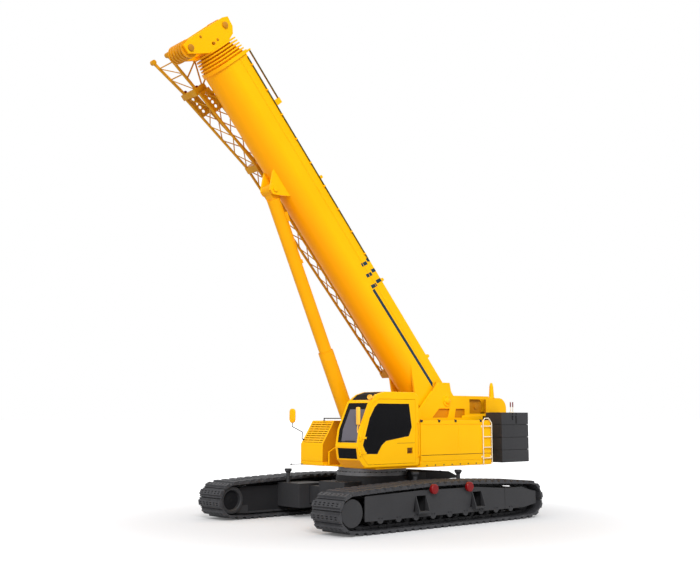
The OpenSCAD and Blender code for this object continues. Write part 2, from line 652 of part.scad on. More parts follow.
// Boom frame of reference: X along the boom from the foot pin, Z square to it.
module at_boom() {
  translate([foot_x, 0, foot_z]) rotate([0, -luff, 0]) children();
}
module u_shape(hw, top) {
  translate([-hw, n0]) square([2 * hw, top - n0]);
  translate([0, n0]) circle(r = hw, $fn = 64);
}
module u_solid(hw, top, t0, t1) {
  translate([t0, 0, 0]) rotate([90, 0, 90]) linear_extrude(height = t1 - t0) u_shape(hw, top);
}
module boom_base() {
  color([0.98, 0.76, 0.05]) at_boom() difference() {
    union() {
      difference() {
        union() {
          u_solid(boom_hw, boom_top, 700, boom_len);
          u_solid(boom_hw + 36, boom_top + 36, boom_len - 80, boom_len);
        }
        u_solid(boom_hw - boom_wall, boom_top - boom_wall, 730, boom_len + 10);
      }
      for (s = [-1, 1]) {
        slab(concat(arc_pts(0, 0, 300, 118, 262, 12), [[420, n0 - 560], [700, n0 - 560], [1500, n0 - 100],
          [1500, boom_top], [120, boom_top]]), s > 0 ? boom_hw - 60 : -boom_hw,
          s > 0 ? boom_hw : 60 - boom_hw);
        slab([[lug_t - 420, n0 - boom_hw + 90], [lug_t - 150, -lug_n - 40], [lug_t - 60, -lug_n - 130],
          [lug_t + 60, -lug_n - 130], [lug_t + 150, -lug_n - 40], [lug_t + 420, n0 - boom_hw + 90]],
          s > 0 ? 150 : -210, s > 0 ? 210 : -150);
      }
      shaft(lug_t, -lug_n, shaft_r, -245, 245);
    }
    shaft(0, 0, pin_r + run_gap, -boom_hw - 10, boom_hw + 10);
    u_solid(boom_hw - boom_wall, boom_top - boom_wall, 730, boom_len + 10);
  }
}
module boom_fittings() {
  color([0.9, 0.7, 0.1]) at_boom() {
    bar([boom_len - 1440, 380, boom_top + 190], [boom_len - 60, 380, boom_top + 190], 22, 12);
    bx(boom_len - 1510, boom_len - 1370, 345, 415, boom_top, boom_top + 215);
    bx(boom_len - 80, boom_len - 40, 350, 410, boom_top + 36, boom_top + 215);
    for (t = [0.66, 0.36, 0.12] * boom_len) bx(t - 35, t + 35, 340, 430, boom_top, boom_top + 100);
  }
}

// Stowed lattice jib on the boom's right side: four chords, braces, cross box, fork.
function mixv(a, b, f) = a + (b - a) * f;
jib_mid = boom_len - 2600;
jib_end = boom_len - 290;
low_a = [[1120, -690, -260], [1120, -930, -260], [1120, -930, -70], [1120, -690, -70]];
low_b = [[jib_mid, -620, -400], [jib_mid, -1000, -400], [jib_mid, -1000, -60], [jib_mid, -620, -60]];
up_a = [for (p = low_b) p + [80, 0, 0]];
up_b = [[jib_end, -640, -700], [jib_end, -1230, -700], [jib_end, -1230, -400], [jib_end, -640, -400]];
module lattice(a, b, bays, rc, rb) {
  for (i = [0:3]) bar(a[i], b[i], rc, 12);
  for (k = [0:bays - 1]) for (i = [0:3]) {
    j = (i + 1) % 4;
    f = (k + (k % 2 == 0 ? 0 : 1)) / bays;
    g = (k + (k % 2 == 0 ? 1 : 0)) / bays;
    bar(mixv(a[i], b[i], f), mixv(a[j], b[j], g), rb, 6);
  }
}
module jib_lower() {
  color([0.8, 0.6, 0.12]) at_boom() {
    lattice(low_a, low_b, 14, 34, 14);
    bx(1080, 1240, -965, -655, -300, -30);
    bx(jib_mid - 80, jib_mid + 38, -1040, -580, -440, -20);
    for (t = [0.35 * boom_len, 0.56 * boom_len]) {
      c = mixv(low_a[0], low_b[0], (t - low_a[0][0]) / (low_b[0][0] - low_a[0][0]));
      bx(t - 90, t + 90, c[1] - 10, -boom_hw, c[2] - 10, c[2] + 130);
    }
  }
}
module jib_plate(i, j) {
  a = mixv(up_a[i], up_b[i], 0.72);
  b = mixv(up_a[i], up_b[i], 0.99);
  c = mixv(up_a[j], up_b[j], 0.99);
  d = mixv(up_a[j], up_b[j], 0.72);
  l = norm([b[0] - a[0], b[1] - a[1]]);
  translate([a[0], a[1], 0]) rotate([0, 0, atan2(b[1] - a[1], b[0] - a[0])]) difference() {
    slab([[0, a[2]], [l, b[2]], [l, c[2]], [0, d[2]]], -7, 7);
    for (f = [0.2, 0.4, 0.6, 0.8])
      shaft(f * l, (a[2] + d[2]) / 2 * (1 - f) + (b[2] + c[2]) / 2 * f, 42, -20, 20);
  }
}
module jib_upper() {
  color([0.8, 0.6, 0.12]) at_boom() {
    lattice(up_a, up_b, 5, 34, 14);
    bx(jib_mid + 38, jib_mid + 90, -1040, -580, -440, -20);
    bx(jib_end - 30, jib_end + 230, -1290, -580, -750, -350);
    bx(jib_end + 10, jib_end + 150, -640, -boom_hw, -370, n0 + 60);
    jib_plate(0, 3);
    jib_plate(1, 2);
    for (y = [-700, -1360]) {
      bar([jib_end + 220, y == -700 ? -660 : -1240, -640], [jib_end + 1070, y, -840], 40, 12);
      shaft(jib_end + 1080, -840, 62, y - 45, y + 45);
    }
    bar([jib_end + 530, -674, -713], [jib_end + 530, -1284, -713], 18, 8);
    bar([jib_end + 890, -691, -798], [jib_end + 890, -1335, -798], 18, 8);
    bar([jib_end + 530, -674, -713], [jib_end + 890, -1335, -798], 14, 6);
  }
}

// Telescoping sections 2 to 6, each with its collar, and the head on the last.
module tele(k) {
  hw = boom_hw - boom_step * (k - 1);
  top = boom_top - boom_step * (k - 1);
  c0 = boom_len + collar_gap + (k - 2) * (collar_t + collar_gap);
  color([0.98, 0.76, 0.05]) at_boom() difference() {
    union() {
      u_solid(hw, top, 740 + 40 * k, c0 + collar_t);
      for (y = [-180, 60])
        bx(740 + 40 * k, 980 + 40 * k, y, y + 120, top - 5, top + boom_step - boom_wall - run_gap);
      u_solid(boom_hw + 30 - 8 * k, boom_top + 30 - 8 * k, c0, c0 + collar_t);
    }
    u_solid(hw - boom_wall, top - boom_wall, 700, c0 + collar_t + 10);
  }
}
module tele_2() { tele(2); }
module tele_3() { tele(3); }
module tele_4() { tele(4); }
module tele_5() { tele(5); }
module tele_6() { tele(6); }
head_lo = -950;
head_hi = 245;
module boom_head() {
  color([0.98, 0.76, 0.05]) at_boom() {
    difference() {
      for (s = [-1, 1])
        slab([[last_t, -560], [last_t + 110, -800], [pin_t - 80, -1080], [pin_t + 130, -1080],
          [pin_t + 175, -880], [pin_t + 175, 300], [pin_t + 130, 460], [pin_t - 110, 440],
          [last_t + 70, 330], [last_t, 130]], s > 0 ? 290 : -350, s > 0 ? 350 : -290);
      shaft(last_t + 130, -330, 38, 250, 400);
      shaft(last_t + 130, -330, 38, -400, -250);
    }
    bx(last_t, last_t + 60, -290, 290, -500, 110);
    bx(last_t + 60, pin_t + 120, -290, 290, -330, -270);
    shaft(pin_t, head_lo, 60, -375, 375);
    shaft(pin_t, head_hi, 60, -375, 375);
  }
}
module sheave_set(n, r, z) {
  w = 560 / 5;
  color([0.25, 0.25, 0.26]) at_boom() difference() {
    union() {
      shaft(pin_t, z, r - 60, -n * w / 2, n * w / 2);
      for (i = [0:n - 1]) for (e = [6, w - 30]) {
        y = (i - n / 2) * w + e;
        shaft(pin_t, z, r, y, y + 24);
      }
    }
    shaft(pin_t, z, 60 + run_gap, -400, 400);
  }
}
module sheaves_low() { sheave_set(5, 215, head_lo); }
module sheaves_top() { sheave_set(3, 190, head_hi); }

// Lift cylinder: barrel pinned to the boom lug, rod with guard tube standing on the frame.
module lift_barrel() {
  color([0.98, 0.76, 0.05]) translate([lug_x0, 0, lug_z0]) rotate([0, -lift_a, 0]) difference() {
    union() {
      shaft(0, 0, 140, -140, 140);
      bx(0, 300, -120, 120, -110, 110);
      translate([240, 0, 0]) rotate([0, 90, 0]) cylinder(h = barrel_l - 240, r = barrel_r);
    }
    shaft(0, 0, shaft_r + run_gap, -150, 150);
    translate([480, 0, 0]) rotate([0, 90, 0]) cylinder(h = barrel_l - 600, r = barrel_r - 38);
    translate([480, 0, 0]) rotate([0, 90, 0]) cylinder(h = barrel_l, r = rod_r + run_gap);
  }
}
module lift_rod() {
  color([0.95, 0.74, 0.06]) translate([low_x, 0, low_z]) rotate([0, 180 - lift_a, 0]) {
    shaft(0, 0, 158, -150, 150);
    rotate([0, 90, 0]) cylinder(h = 4150, r = rod_r);
    translate([190, 0, 0]) rotate([0, 90, 0]) cylinder(h = 60, r = barrel_r + 30);
    difference() {
      translate([250, 0, 0]) rotate([0, 90, 0]) cylinder(h = 2370, r = barrel_r + 30);
      translate([240, 0, 0]) rotate([0, 90, 0]) cylinder(h = 2400, r = barrel_r + 15);
    }
  }
}

carbody();
slew_ring_lower();
track_frame_l();
track_sleeves_l();
track_belt_l();
track_drive_l();
track_rollers_l();
track_carriers_l();
track_frame_r();
track_sleeves_r();
track_belt_r();
track_drive_r();
track_rollers_r();
track_carriers_r();
slew_ring_upper();
platform();
boom_frame();
rear_housing();
counterweight();
winch_drum();
left_house();
right_hood();
hood_grille();
engine();
ladder();
fittings();
cab_base();
cab_shell();
cab_roof();
cab_glass();
cab_seat();
cab_console();
cab_door();
door_glass();
boom_base();
boom_fittings();
jib_lower();
jib_upper();
tele_2();
tele_3();
tele_4();
tele_5();
tele_6();
boom_head();
sheaves_low();
sheaves_top();
lift_barrel();
lift_rod();
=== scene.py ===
import math
import bmesh
import bpy
from mathutils import Matrix, Vector


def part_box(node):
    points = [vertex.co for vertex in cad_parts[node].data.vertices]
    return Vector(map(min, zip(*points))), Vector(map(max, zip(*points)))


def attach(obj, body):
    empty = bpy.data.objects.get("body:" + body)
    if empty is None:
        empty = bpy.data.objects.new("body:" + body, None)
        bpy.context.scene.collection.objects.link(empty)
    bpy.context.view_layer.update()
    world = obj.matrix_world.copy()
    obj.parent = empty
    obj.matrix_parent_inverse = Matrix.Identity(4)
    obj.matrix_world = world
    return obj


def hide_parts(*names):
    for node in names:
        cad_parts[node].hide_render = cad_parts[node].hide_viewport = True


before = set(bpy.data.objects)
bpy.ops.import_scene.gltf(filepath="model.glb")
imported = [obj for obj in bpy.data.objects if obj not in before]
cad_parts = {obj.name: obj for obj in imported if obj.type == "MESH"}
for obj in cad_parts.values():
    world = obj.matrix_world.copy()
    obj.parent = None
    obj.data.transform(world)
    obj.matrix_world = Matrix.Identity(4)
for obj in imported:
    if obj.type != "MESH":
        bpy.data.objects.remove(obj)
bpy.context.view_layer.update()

# Camera
# It stands ahead of the left track, 2.5 m up, and looks slightly upwards.
# A normal lens with no shift gives the photograph's framing.
scene = bpy.context.scene
scene.view_settings.view_transform = "Standard"
lens_data = bpy.data.cameras.new("photo_camera")
lens_data.lens = 49.99
lens_data.sensor_width = 36.0
lens_data.clip_end = 1500.0
camera = bpy.data.objects.new("photo_camera", lens_data)
camera.location = (16.964, 18.504, 2.521)
camera.rotation_euler = (math.radians(97.616), 0.0, math.radians(138.77))
scene.collection.objects.link(camera)
scene.camera = camera


# Studio
# A white paper sweep on the ground under an even pale sky, with a large soft
# key lamp from the left, a low fill from ahead and a broad light overhead. The
# paper glows white to the camera far off, less near the machine: a painted shadow.
def srgb(code):
    parts = [int(code[i:i + 2], 16) / 255 for i in (0, 2, 4)]
    return tuple(c / 12.92 if c <= 0.04045 else ((c + 0.055) / 1.055) ** 2.4 for c in parts) + (1.0,)


def add_node(tree, kind, values=None, links=None, **settings):
    """Adds a shader node. A link comes from a socket, or from the first one of a node."""
    made = tree.nodes.new("ShaderNode" + kind)
    for key, value in settings.items():
        setattr(made, key, value)
    for socket, value in (values or {}).items():
        made.inputs[socket].default_value = value
    for socket, source in (links or {}).items():
        if isinstance(source, bpy.types.Node):
            source = source.outputs[0]
        tree.links.new(source, made.inputs[socket])
    return made


def new_finish(name):
    """An empty material: itself, its node tree and its object coordinates."""
    made = bpy.data.materials.new(name)
    made.use_nodes = True
    made.node_tree.nodes.clear()
    place = add_node(made.node_tree, "TexCoord")
    return made, made.node_tree, place.outputs["Object"]


SKY_LIGHT = 0.38
# Each lamp: name, strength, spread in degrees and the direction that it shines from.
LAMPS = (("key_lamp", 1.95, 24, (0.45, 0.70, 0.55)), ("front_fill", 0.7, 50, (1.0, 0.25, 0.15)),
         ("top_light", 1.12, 110, (0.05, 0.15, 1.0)))
# The paper's glow to the camera: low near the machine as a painted shadow, rising to full white far off
# between the two distances.
PAINTED_SHADOW_GLOW, FAR_GLOW, PAINTED_SHADOW_FADE_FROM, PAINTED_SHADOW_FADE_TO = 0.10, 0.52, 4.0, 11.0
FLOOR_HALF, FLOOR_DROP = 600, 0.002
sky = bpy.data.worlds.new("pale_sky")
scene.world = sky
sky.use_nodes = True
sky_tree = sky.node_tree
sky_tree.nodes.clear()
ray = add_node(sky_tree, "LightPath")
seen = add_node(sky_tree, "Math", operation="MAXIMUM",
                links={0: ray.outputs["Is Camera Ray"], 1: ray.outputs["Is Glossy Ray"]})
seen = add_node(sky_tree, "Math", operation="MAXIMUM",
                links={0: seen, 1: ray.outputs["Is Transmission Ray"]})
level = add_node(sky_tree, "MapRange", values={"To Min": SKY_LIGHT, "To Max": 1.0}, links={"Value": seen})
glow = add_node(sky_tree, "Background", values={"Color": (1, 1, 1, 1)}, links={"Strength": level})
add_node(sky_tree, "OutputWorld", links={"Surface": glow})

for name, energy, spread, source in LAMPS:
    lamp_data = bpy.data.lights.new(name, "SUN")
    lamp_data.energy = energy
    lamp_data.angle = math.radians(spread)
    lamp = bpy.data.objects.new(name, lamp_data)
    lamp.rotation_euler = Vector(source).to_track_quat("Z", "Y").to_euler()
    scene.collection.objects.link(lamp)

sweep, sweep_tree, sweep_place = new_finish("white_sweep_paper_painted_shadow")
sweep_ray = add_node(sweep_tree, "LightPath")
from_middle = add_node(sweep_tree, "VectorMath", operation="LENGTH", links={0: sweep_place})
painted_shadow_fade = add_node(sweep_tree, "MapRange", interpolation_type="SMOOTHSTEP",
                  values={"From Min": PAINTED_SHADOW_FADE_FROM, "From Max": PAINTED_SHADOW_FADE_TO, "To Min": PAINTED_SHADOW_GLOW,
                          "To Max": FAR_GLOW}, links={"Value": from_middle.outputs["Value"]})
sweep_glow_past_painted_shadow = add_node(sweep_tree, "Math", operation="MULTIPLY",
                      links={0: sweep_ray.outputs["Is Camera Ray"], 1: painted_shadow_fade})
sweep_face = add_node(sweep_tree, "BsdfPrincipled", values={"Base Color": srgb("DADADB"), "Roughness": 0.9,
                              "Emission Color": (1, 1, 1, 1)}, links={"Emission Strength": sweep_glow_past_painted_shadow})
add_node(sweep_tree, "OutputMaterial", links={"Surface": sweep_face})
floor_mesh = bmesh.new()
bmesh.ops.create_grid(floor_mesh, x_segments=1, y_segments=1, size=FLOOR_HALF)
floor_data = bpy.data.meshes.new("floor")
floor_mesh.to_mesh(floor_data)
floor_mesh.free()
floor_data.materials.append(sweep)
floor = bpy.data.objects.new("floor", floor_data)
floor.location.z = -FLOOR_DROP
scene.collection.objects.link(floor)


# Carbody
# A welded plate box with two cross beams and a bolted cover at the rear. Its
# dark grey satin paint is a smooth film that drifts a little in tone and holds
# faint dust where it faces up.
DRIFT_MM, SPECK_MM, DUST = 900, 70, "B9A88C"


def sprayed_paint(name, tone, shade, rough, shine, peel_mm, dust, painted_under_shade=None):
    """A sprayed film that drifts from tone to shade, with specks of dust on top. Its orange peel
    is drawn coarser than the real 2 to 5 mm, so that it shows. Where a last colour is given,
    faces that look down are mixed towards it as painted shade."""
    made, tree, place = new_finish(name)
    broad = add_node(tree, "TexNoise", values={"Scale": 1000 / DRIFT_MM, "Detail": 3.0},
                     links={"Vector": place})
    drift = add_node(tree, "MapRange", values={"From Min": 0.35, "From Max": 0.7}, links={"Value": broad})
    film = add_node(tree, "Mix", data_type="RGBA", values={6: srgb(tone), 7: srgb(shade)}, links={0: drift})
    facing = add_node(tree, "NewGeometry")
    up = add_node(tree, "SeparateXYZ", links={0: facing.outputs["Normal"]})
    # Painted shade: faces that look down are mixed towards a deeper colour.
    if painted_under_shade:
        facing_down_painted_shade = add_node(tree, "MapRange", values={"From Min": 0.0, "From Max": -0.5},
                           links={"Value": up.outputs["Z"]})
        film = add_node(tree, "Mix", data_type="RGBA", values={7: srgb(painted_under_shade)},
                        links={0: facing_down_painted_shade, 6: film.outputs[2]})
    lying = add_node(tree, "MapRange", values={"From Min": 0.5, "From Max": 1.0, "To Max": dust},
                     links={"Value": up.outputs["Z"]})
    specks = add_node(tree, "TexNoise", values={"Scale": 1000 / SPECK_MM, "Detail": 5.0},
                      links={"Vector": place})
    settled = add_node(tree, "Math", operation="MULTIPLY", links={0: lying, 1: specks})
    dusty = add_node(tree, "Mix", data_type="RGBA", values={7: srgb(DUST)},
                     links={0: settled, 6: film.outputs[2]})
    gloss = add_node(tree, "MapRange", values={"From Min": 0.3, "From Max": 0.7, "To Min": rough - 0.05,
                             "To Max": rough + 0.06}, links={"Value": specks})
    peel = add_node(tree, "TexNoise", values={"Scale": 1000 / peel_mm, "Detail": 1.0},
                    links={"Vector": place})
    skin = add_node(tree, "Bump", values={"Strength": 0.05, "Distance": 0.002}, links={"Height": peel})
    face = add_node(tree, "BsdfPrincipled", values={"Specular IOR Level": shine, "IOR": 1.5},
                    links={"Base Color": dusty.outputs[2], "Roughness": gloss, "Normal": skin})
    add_node(tree, "OutputMaterial", links={"Surface": face})
    return made


def make_piece(name, mesh, finish, body, replaced=(), smooth=35, place=None):
    if place is not None:
        bmesh.ops.transform(mesh, matrix=place, verts=mesh.verts)
    bmesh.ops.recalc_face_normals(mesh, faces=mesh.faces)
    data = bpy.data.meshes.new(name)
    mesh.to_mesh(data)
    mesh.free()
    data.materials.append(finish)
    data.shade_smooth()
    data.set_sharp_from_angle(angle=math.radians(smooth))
    made = bpy.data.objects.new(name, data)
    scene.collection.objects.link(made)
    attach(made, body)
    if replaced:
        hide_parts(*replaced)
    return made


def copy_solid(node):
    mesh = bmesh.new()
    mesh.from_mesh(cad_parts[node].data)
    bmesh.ops.remove_doubles(mesh, verts=mesh.verts, dist=1e-5)
    bmesh.ops.dissolve_limit(mesh, angle_limit=math.radians(1.0), verts=mesh.verts, edges=mesh.edges)
    return mesh


def sharp_edges(mesh, limit=34):
    return [e for e in mesh.edges if len(e.link_faces) == 2 and e.calc_face_angle(0) > math.radians(limit)]


def bevel_edges(mesh, edges, width, segments):
    bmesh.ops.bevel(mesh, geom=edges, offset=width, offset_type="OFFSET", affect="EDGES",
                    segments=segments, profile=0.5, material=-1, clamp_overlap=True)


def even_out(made):
    """Lets the large flat faces of a bevelled piece set its shading."""
    even = made.modifiers.new("even_faces", "WEIGHTED_NORMAL")
    even.keep_sharp = True


def soften(node, width, finish, body, segments=2, smooth=40):
    """The CAD solid again, with its sharp edges rounded as a folded or ground plate's are."""
    mesh = copy_solid(node)
    bevel_edges(mesh, sharp_edges(mesh), width, segments)
    made = make_piece(node + "_skin", mesh, finish, body, (node,), smooth)
    even_out(made)
    return made


def add_rod(mesh, start, end, radius, sides=12, tip=None):
    start, end = Vector(start), Vector(end)
    along = end - start
    place = Matrix.Translation((start + end) / 2) @ along.to_track_quat("Z", "Y").to_matrix().to_4x4()
    bmesh.ops.create_cone(mesh, cap_ends=True, segments=sides, radius1=radius,
                          radius2=radius if tip is None else tip, depth=along.length, matrix=place)


def add_bolt(mesh, at, out, radius):
    """A hexagon head on its washer, which is sunk a little into the plate."""
    at, out = Vector(at), Vector(out)
    add_rod(mesh, at - out * 0.004, at + out * radius * 0.25, radius * 1.5, 14)
    add_rod(mesh, at + out * radius * 0.2, at + out * radius * 1.1, radius, 6, radius * 0.9)


def add_block(mesh, low, high, place=Matrix.Identity(4), round_by=0.0, segments=2):
    low, high = Vector(low), Vector(high)
    before = set(mesh.verts)
    made = bmesh.ops.create_cube(mesh, size=1.0)["verts"]
    bmesh.ops.scale(mesh, vec=high - low, verts=made)
    bmesh.ops.translate(mesh, vec=(low + high) / 2, verts=made)
    if round_by:
        bevel_edges(mesh, list({e for v in made for e in v.link_edges}), round_by, segments)
    made = [v for v in mesh.verts if v not in before]
    bmesh.ops.transform(mesh, matrix=place, verts=made)


def add_side_block(mesh, turn, low, high, round_by=0.0, segments=2):
    """A block given for the left side: it stays there for turn 1 and is mirrored for turn -1."""
    near, far = sorted((turn * low[1], turn * high[1]))
    add_block(mesh, (low[0], near, low[2]), (high[0], far, high[2]), round_by=round_by, segments=segments)


def add_plate(mesh, corners, thick):
    """A burnt-out plate: its outline is filled and drawn out to its thickness."""
    wall = mesh.faces.new([mesh.verts.new(corner) for corner in corners])
    grown = bmesh.ops.extrude_face_region(mesh, geom=[wall])["geom"]
    bmesh.ops.translate(mesh, vec=thick, verts=[v for v in grown if isinstance(v, bmesh.types.BMVert)])


dark_paint = sprayed_paint("dark_grey_satin_paint", "353537", "303032", 0.5, 0.2, 30, 0.10)
soften("carbody", 0.012, dark_paint, "undercarriage")
BODY_TOP, COVER_FRONT, COVER_TOP, COVER_HALF, COVER_EDGE = 0.949, -0.94, 1.165, 1.0, 0.018
COVER_FALL, COVER_BOLT_X, COVER_BOLT_Y = 0.0357, (-1.1, -1.35, -1.6), 0.85
REAR_COVER = ((COVER_FRONT, BODY_TOP), (COVER_FRONT, COVER_TOP), (-1.78, 1.135), (-2.12, 1.0),
              (-2.12, BODY_TOP))
WING_LOW, WING_HIGH = (-0.96, 0.76, BODY_TOP), (-0.48, 0.995, 1.16)
cover = bmesh.new()
add_plate(cover, [(x, -COVER_HALF, z) for x, z in REAR_COVER], (0, 2 * COVER_HALF, 0))
bevel_edges(cover, cover.edges[:], COVER_EDGE, 3)
for turn in (1, -1):
    add_side_block(cover, turn, WING_LOW, WING_HIGH, COVER_EDGE, 3)
    for x in COVER_BOLT_X:
        on_top = COVER_TOP - (COVER_FRONT - x) * COVER_FALL
        add_bolt(cover, (x, turn * COVER_BOLT_Y, on_top), (0, 0, 1), 0.014)
make_piece("carbody_cover", cover, dark_paint, "undercarriage")


# Track frames
# Welded boxes on the ends of the cross beams, painted with the carbody, with
# side plates, guards and motor covers welded or bolted on. Their inner sides
# are painted nearly black as painted shade.
PATCH_MM = 200


def cast_steel(name, tone, worn, rough, pit_mm, shine=0.5, metal=0.35):
    """Metal as cast, turned or blasted: a fine grain of pits, drawn coarse enough to show, and
    broad patches that are rubbed paler."""
    made, tree, place = new_finish(name)
    sand = add_node(tree, "TexNoise", values={"Scale": 1000 / pit_mm, "Detail": 4.0},
                    links={"Vector": place})
    patch = add_node(tree, "TexNoise", values={"Scale": 1000 / PATCH_MM, "Detail": 4.0},
                     links={"Vector": place})
    rubbed = add_node(tree, "MapRange", values={"From Min": 0.5, "From Max": 0.75, "To Max": 0.8},
                      links={"Value": patch})
    tint = add_node(tree, "Mix", data_type="RGBA", values={6: srgb(tone), 7: srgb(worn)}, links={0: rubbed})
    gloss = add_node(tree, "MapRange", values={"To Min": rough + 0.1, "To Max": rough - 0.1},
                     links={"Value": sand})
    skin = add_node(tree, "Bump", values={"Strength": 0.2, "Distance": 0.003}, links={"Height": sand})
    face = add_node(tree, "BsdfPrincipled", values={"Metallic": metal, "Specular IOR Level": shine},
                    links={"Base Color": tint.outputs[2], "Roughness": gloss, "Normal": skin})
    add_node(tree, "OutputMaterial", links={"Surface": face})
    return made


def second_finish(made, finish, chosen):
    """Adds a finish to a piece, on the faces chosen by their centre and outward direction."""
    made.data.materials.append(finish)
    last = len(made.data.materials) - 1
    for f in made.data.polygons:
        if chosen(f.center, f.normal):
            f.material_index = last


def around(count):
    """Evenly spaced directions round a circle, for bolt circles."""
    return [(math.cos(math.tau * i / count), math.sin(math.tau * i / count)) for i in range(count)]


def add_turned(mesh, profile, centre, along, sides=32):
    """A lathe part: its profile of radius and height is spun round an axis."""
    before = set(mesh.verts)
    points = [mesh.verts.new((radius, 0, height)) for radius, height in profile]
    edges = [mesh.edges.new(pair) for pair in zip(points, points[1:])]
    bmesh.ops.spin(mesh, geom=points + edges, cent=(0, 0, 0), axis=(0, 0, 1), angle=math.tau,
                   steps=sides, use_merge=True)
    made = [v for v in mesh.verts if v not in before]
    bmesh.ops.remove_doubles(mesh, verts=made, dist=1e-6)
    made = [v for v in mesh.verts if v not in before]
    place = Matrix.Translation(centre) @ Vector(along).to_track_quat("Z", "Y").to_matrix().to_4x4()
    bmesh.ops.transform(mesh, matrix=place, verts=made)


# The recess in the motor cover is painted nearly black as painted shade, so that it reads as deep.
recess_painted_shade = sprayed_paint("recess_painted_shade_black", "141416", "19191B", 0.7, 0.1, 20, 0.05)
# Painted shade: the track frames' inner sides are painted nearly black.
inner_side_painted_shade = sprayed_paint("inner_side_painted_shade_black", "1E1E20", "242426", 0.7, 0.1, 20, 0.05)
# Bolts are oil-blackened: nearly black, with a dull metallic gleam.
bolt_steel = cast_steel("blackened_bolt_steel", "2B2B2D", "3A3A3B", 0.42, 6, 0.3, 0.2)
# Outlines are given by x and z, those of the beam cheeks by reach from the frame and z.
TRACKS = (("l", "left_track", 1), ("r", "right_track", -1))
TRACK_Y, WHEEL_X, WHEEL_Z, BEAM_X = 2.238, 3.0, 0.48, 0.95
ROLLER_X = [0.55 * i for i in range(-4, 5)]
ROLLER_EYE_Z, ROLLER_EYE_R = 0.31, 0.095
PLATE_T, PLATE_SUNK, PLATE_LOW, POCKET_LOW, POCKET_HIGH = 0.012, 0.002, 0.285, 0.395, 0.757
AHEAD_PLATE = ((0.95, PLATE_LOW), (2.66, PLATE_LOW), (2.66, 0.82), (0.95, 0.872), (0.95, POCKET_HIGH),
               (1.117, POCKET_HIGH), (1.197, POCKET_LOW), (0.95, POCKET_LOW))
MIDDLE_PLATE = ((0.95, PLATE_LOW), (0.95, POCKET_LOW), (0.703, POCKET_LOW), (0.783, POCKET_HIGH),
                (0.95, POCKET_HIGH), (0.95, 0.872), (-0.95, 0.862), (-0.95, POCKET_HIGH),
                (-0.783, POCKET_HIGH), (-0.703, POCKET_LOW), (-0.95, POCKET_LOW), (-0.95, PLATE_LOW))
BEHIND_PLATE = ((-0.95, PLATE_LOW), (-0.95, POCKET_LOW), (-1.197, POCKET_LOW), (-1.117, POCKET_HIGH),
                (-0.95, POCKET_HIGH), (-0.95, 0.862), (-1.974, 0.788), (-1.974, PLATE_LOW))
END_PLATE = ((-1.986, PLATE_LOW), (-1.986, 0.787), (-2.65, 0.745), (-3.18, 0.66), (-3.18, 0.36),
             (-2.7, PLATE_LOW))
SKIRT_NEAR, SKIRT_T, SKIRT_HALF, SKIRT_LOW, SKIRT_HIGH = 0.002, 0.016, 2.44, 0.123, 0.178
END_GUARD = ((2.43, SKIRT_LOW), (2.75, 0.14), (3.0, 0.155), (3.2, 0.225), (3.31, 0.37), (3.33, 0.48),
             (2.43, 0.48))
GUIDE_HALF, GUIDE_LOW = 0.028, 0.78
CHAIN_GUIDE = ((0.74, GUIDE_LOW), (0.74, 0.885), (1.95, 0.845), (2.3, 0.822), (2.3, GUIDE_LOW))
CHEEK_X, CHEEK_T, CHEEK_SUNK = 0.165, 0.028, 0.004
BEAM_CHEEK = ((0, 0.36), (0.135, 0.36), (0.135, 0.43), (0.02, 0.755), (0, 0.755))
LIP_HALF, LIP_OUT, LIP_LOW, LIP_HIGH = 0.153, 0.131, 0.362, 0.412
MOTOR_COVER = ((0, 0.012), (0.05, 0.026), (0.1, 0.006), (0.235, 0.004), (0.245, 0.085), (0.262, 0.10),
               (0.325, 0.09), (0.345, 0.05), (0.345, -0.002), (0, -0.002))
RECESS_R, HUB_BOLT_R, HUB_BOLT_OUT = 0.238, 0.295, 0.094
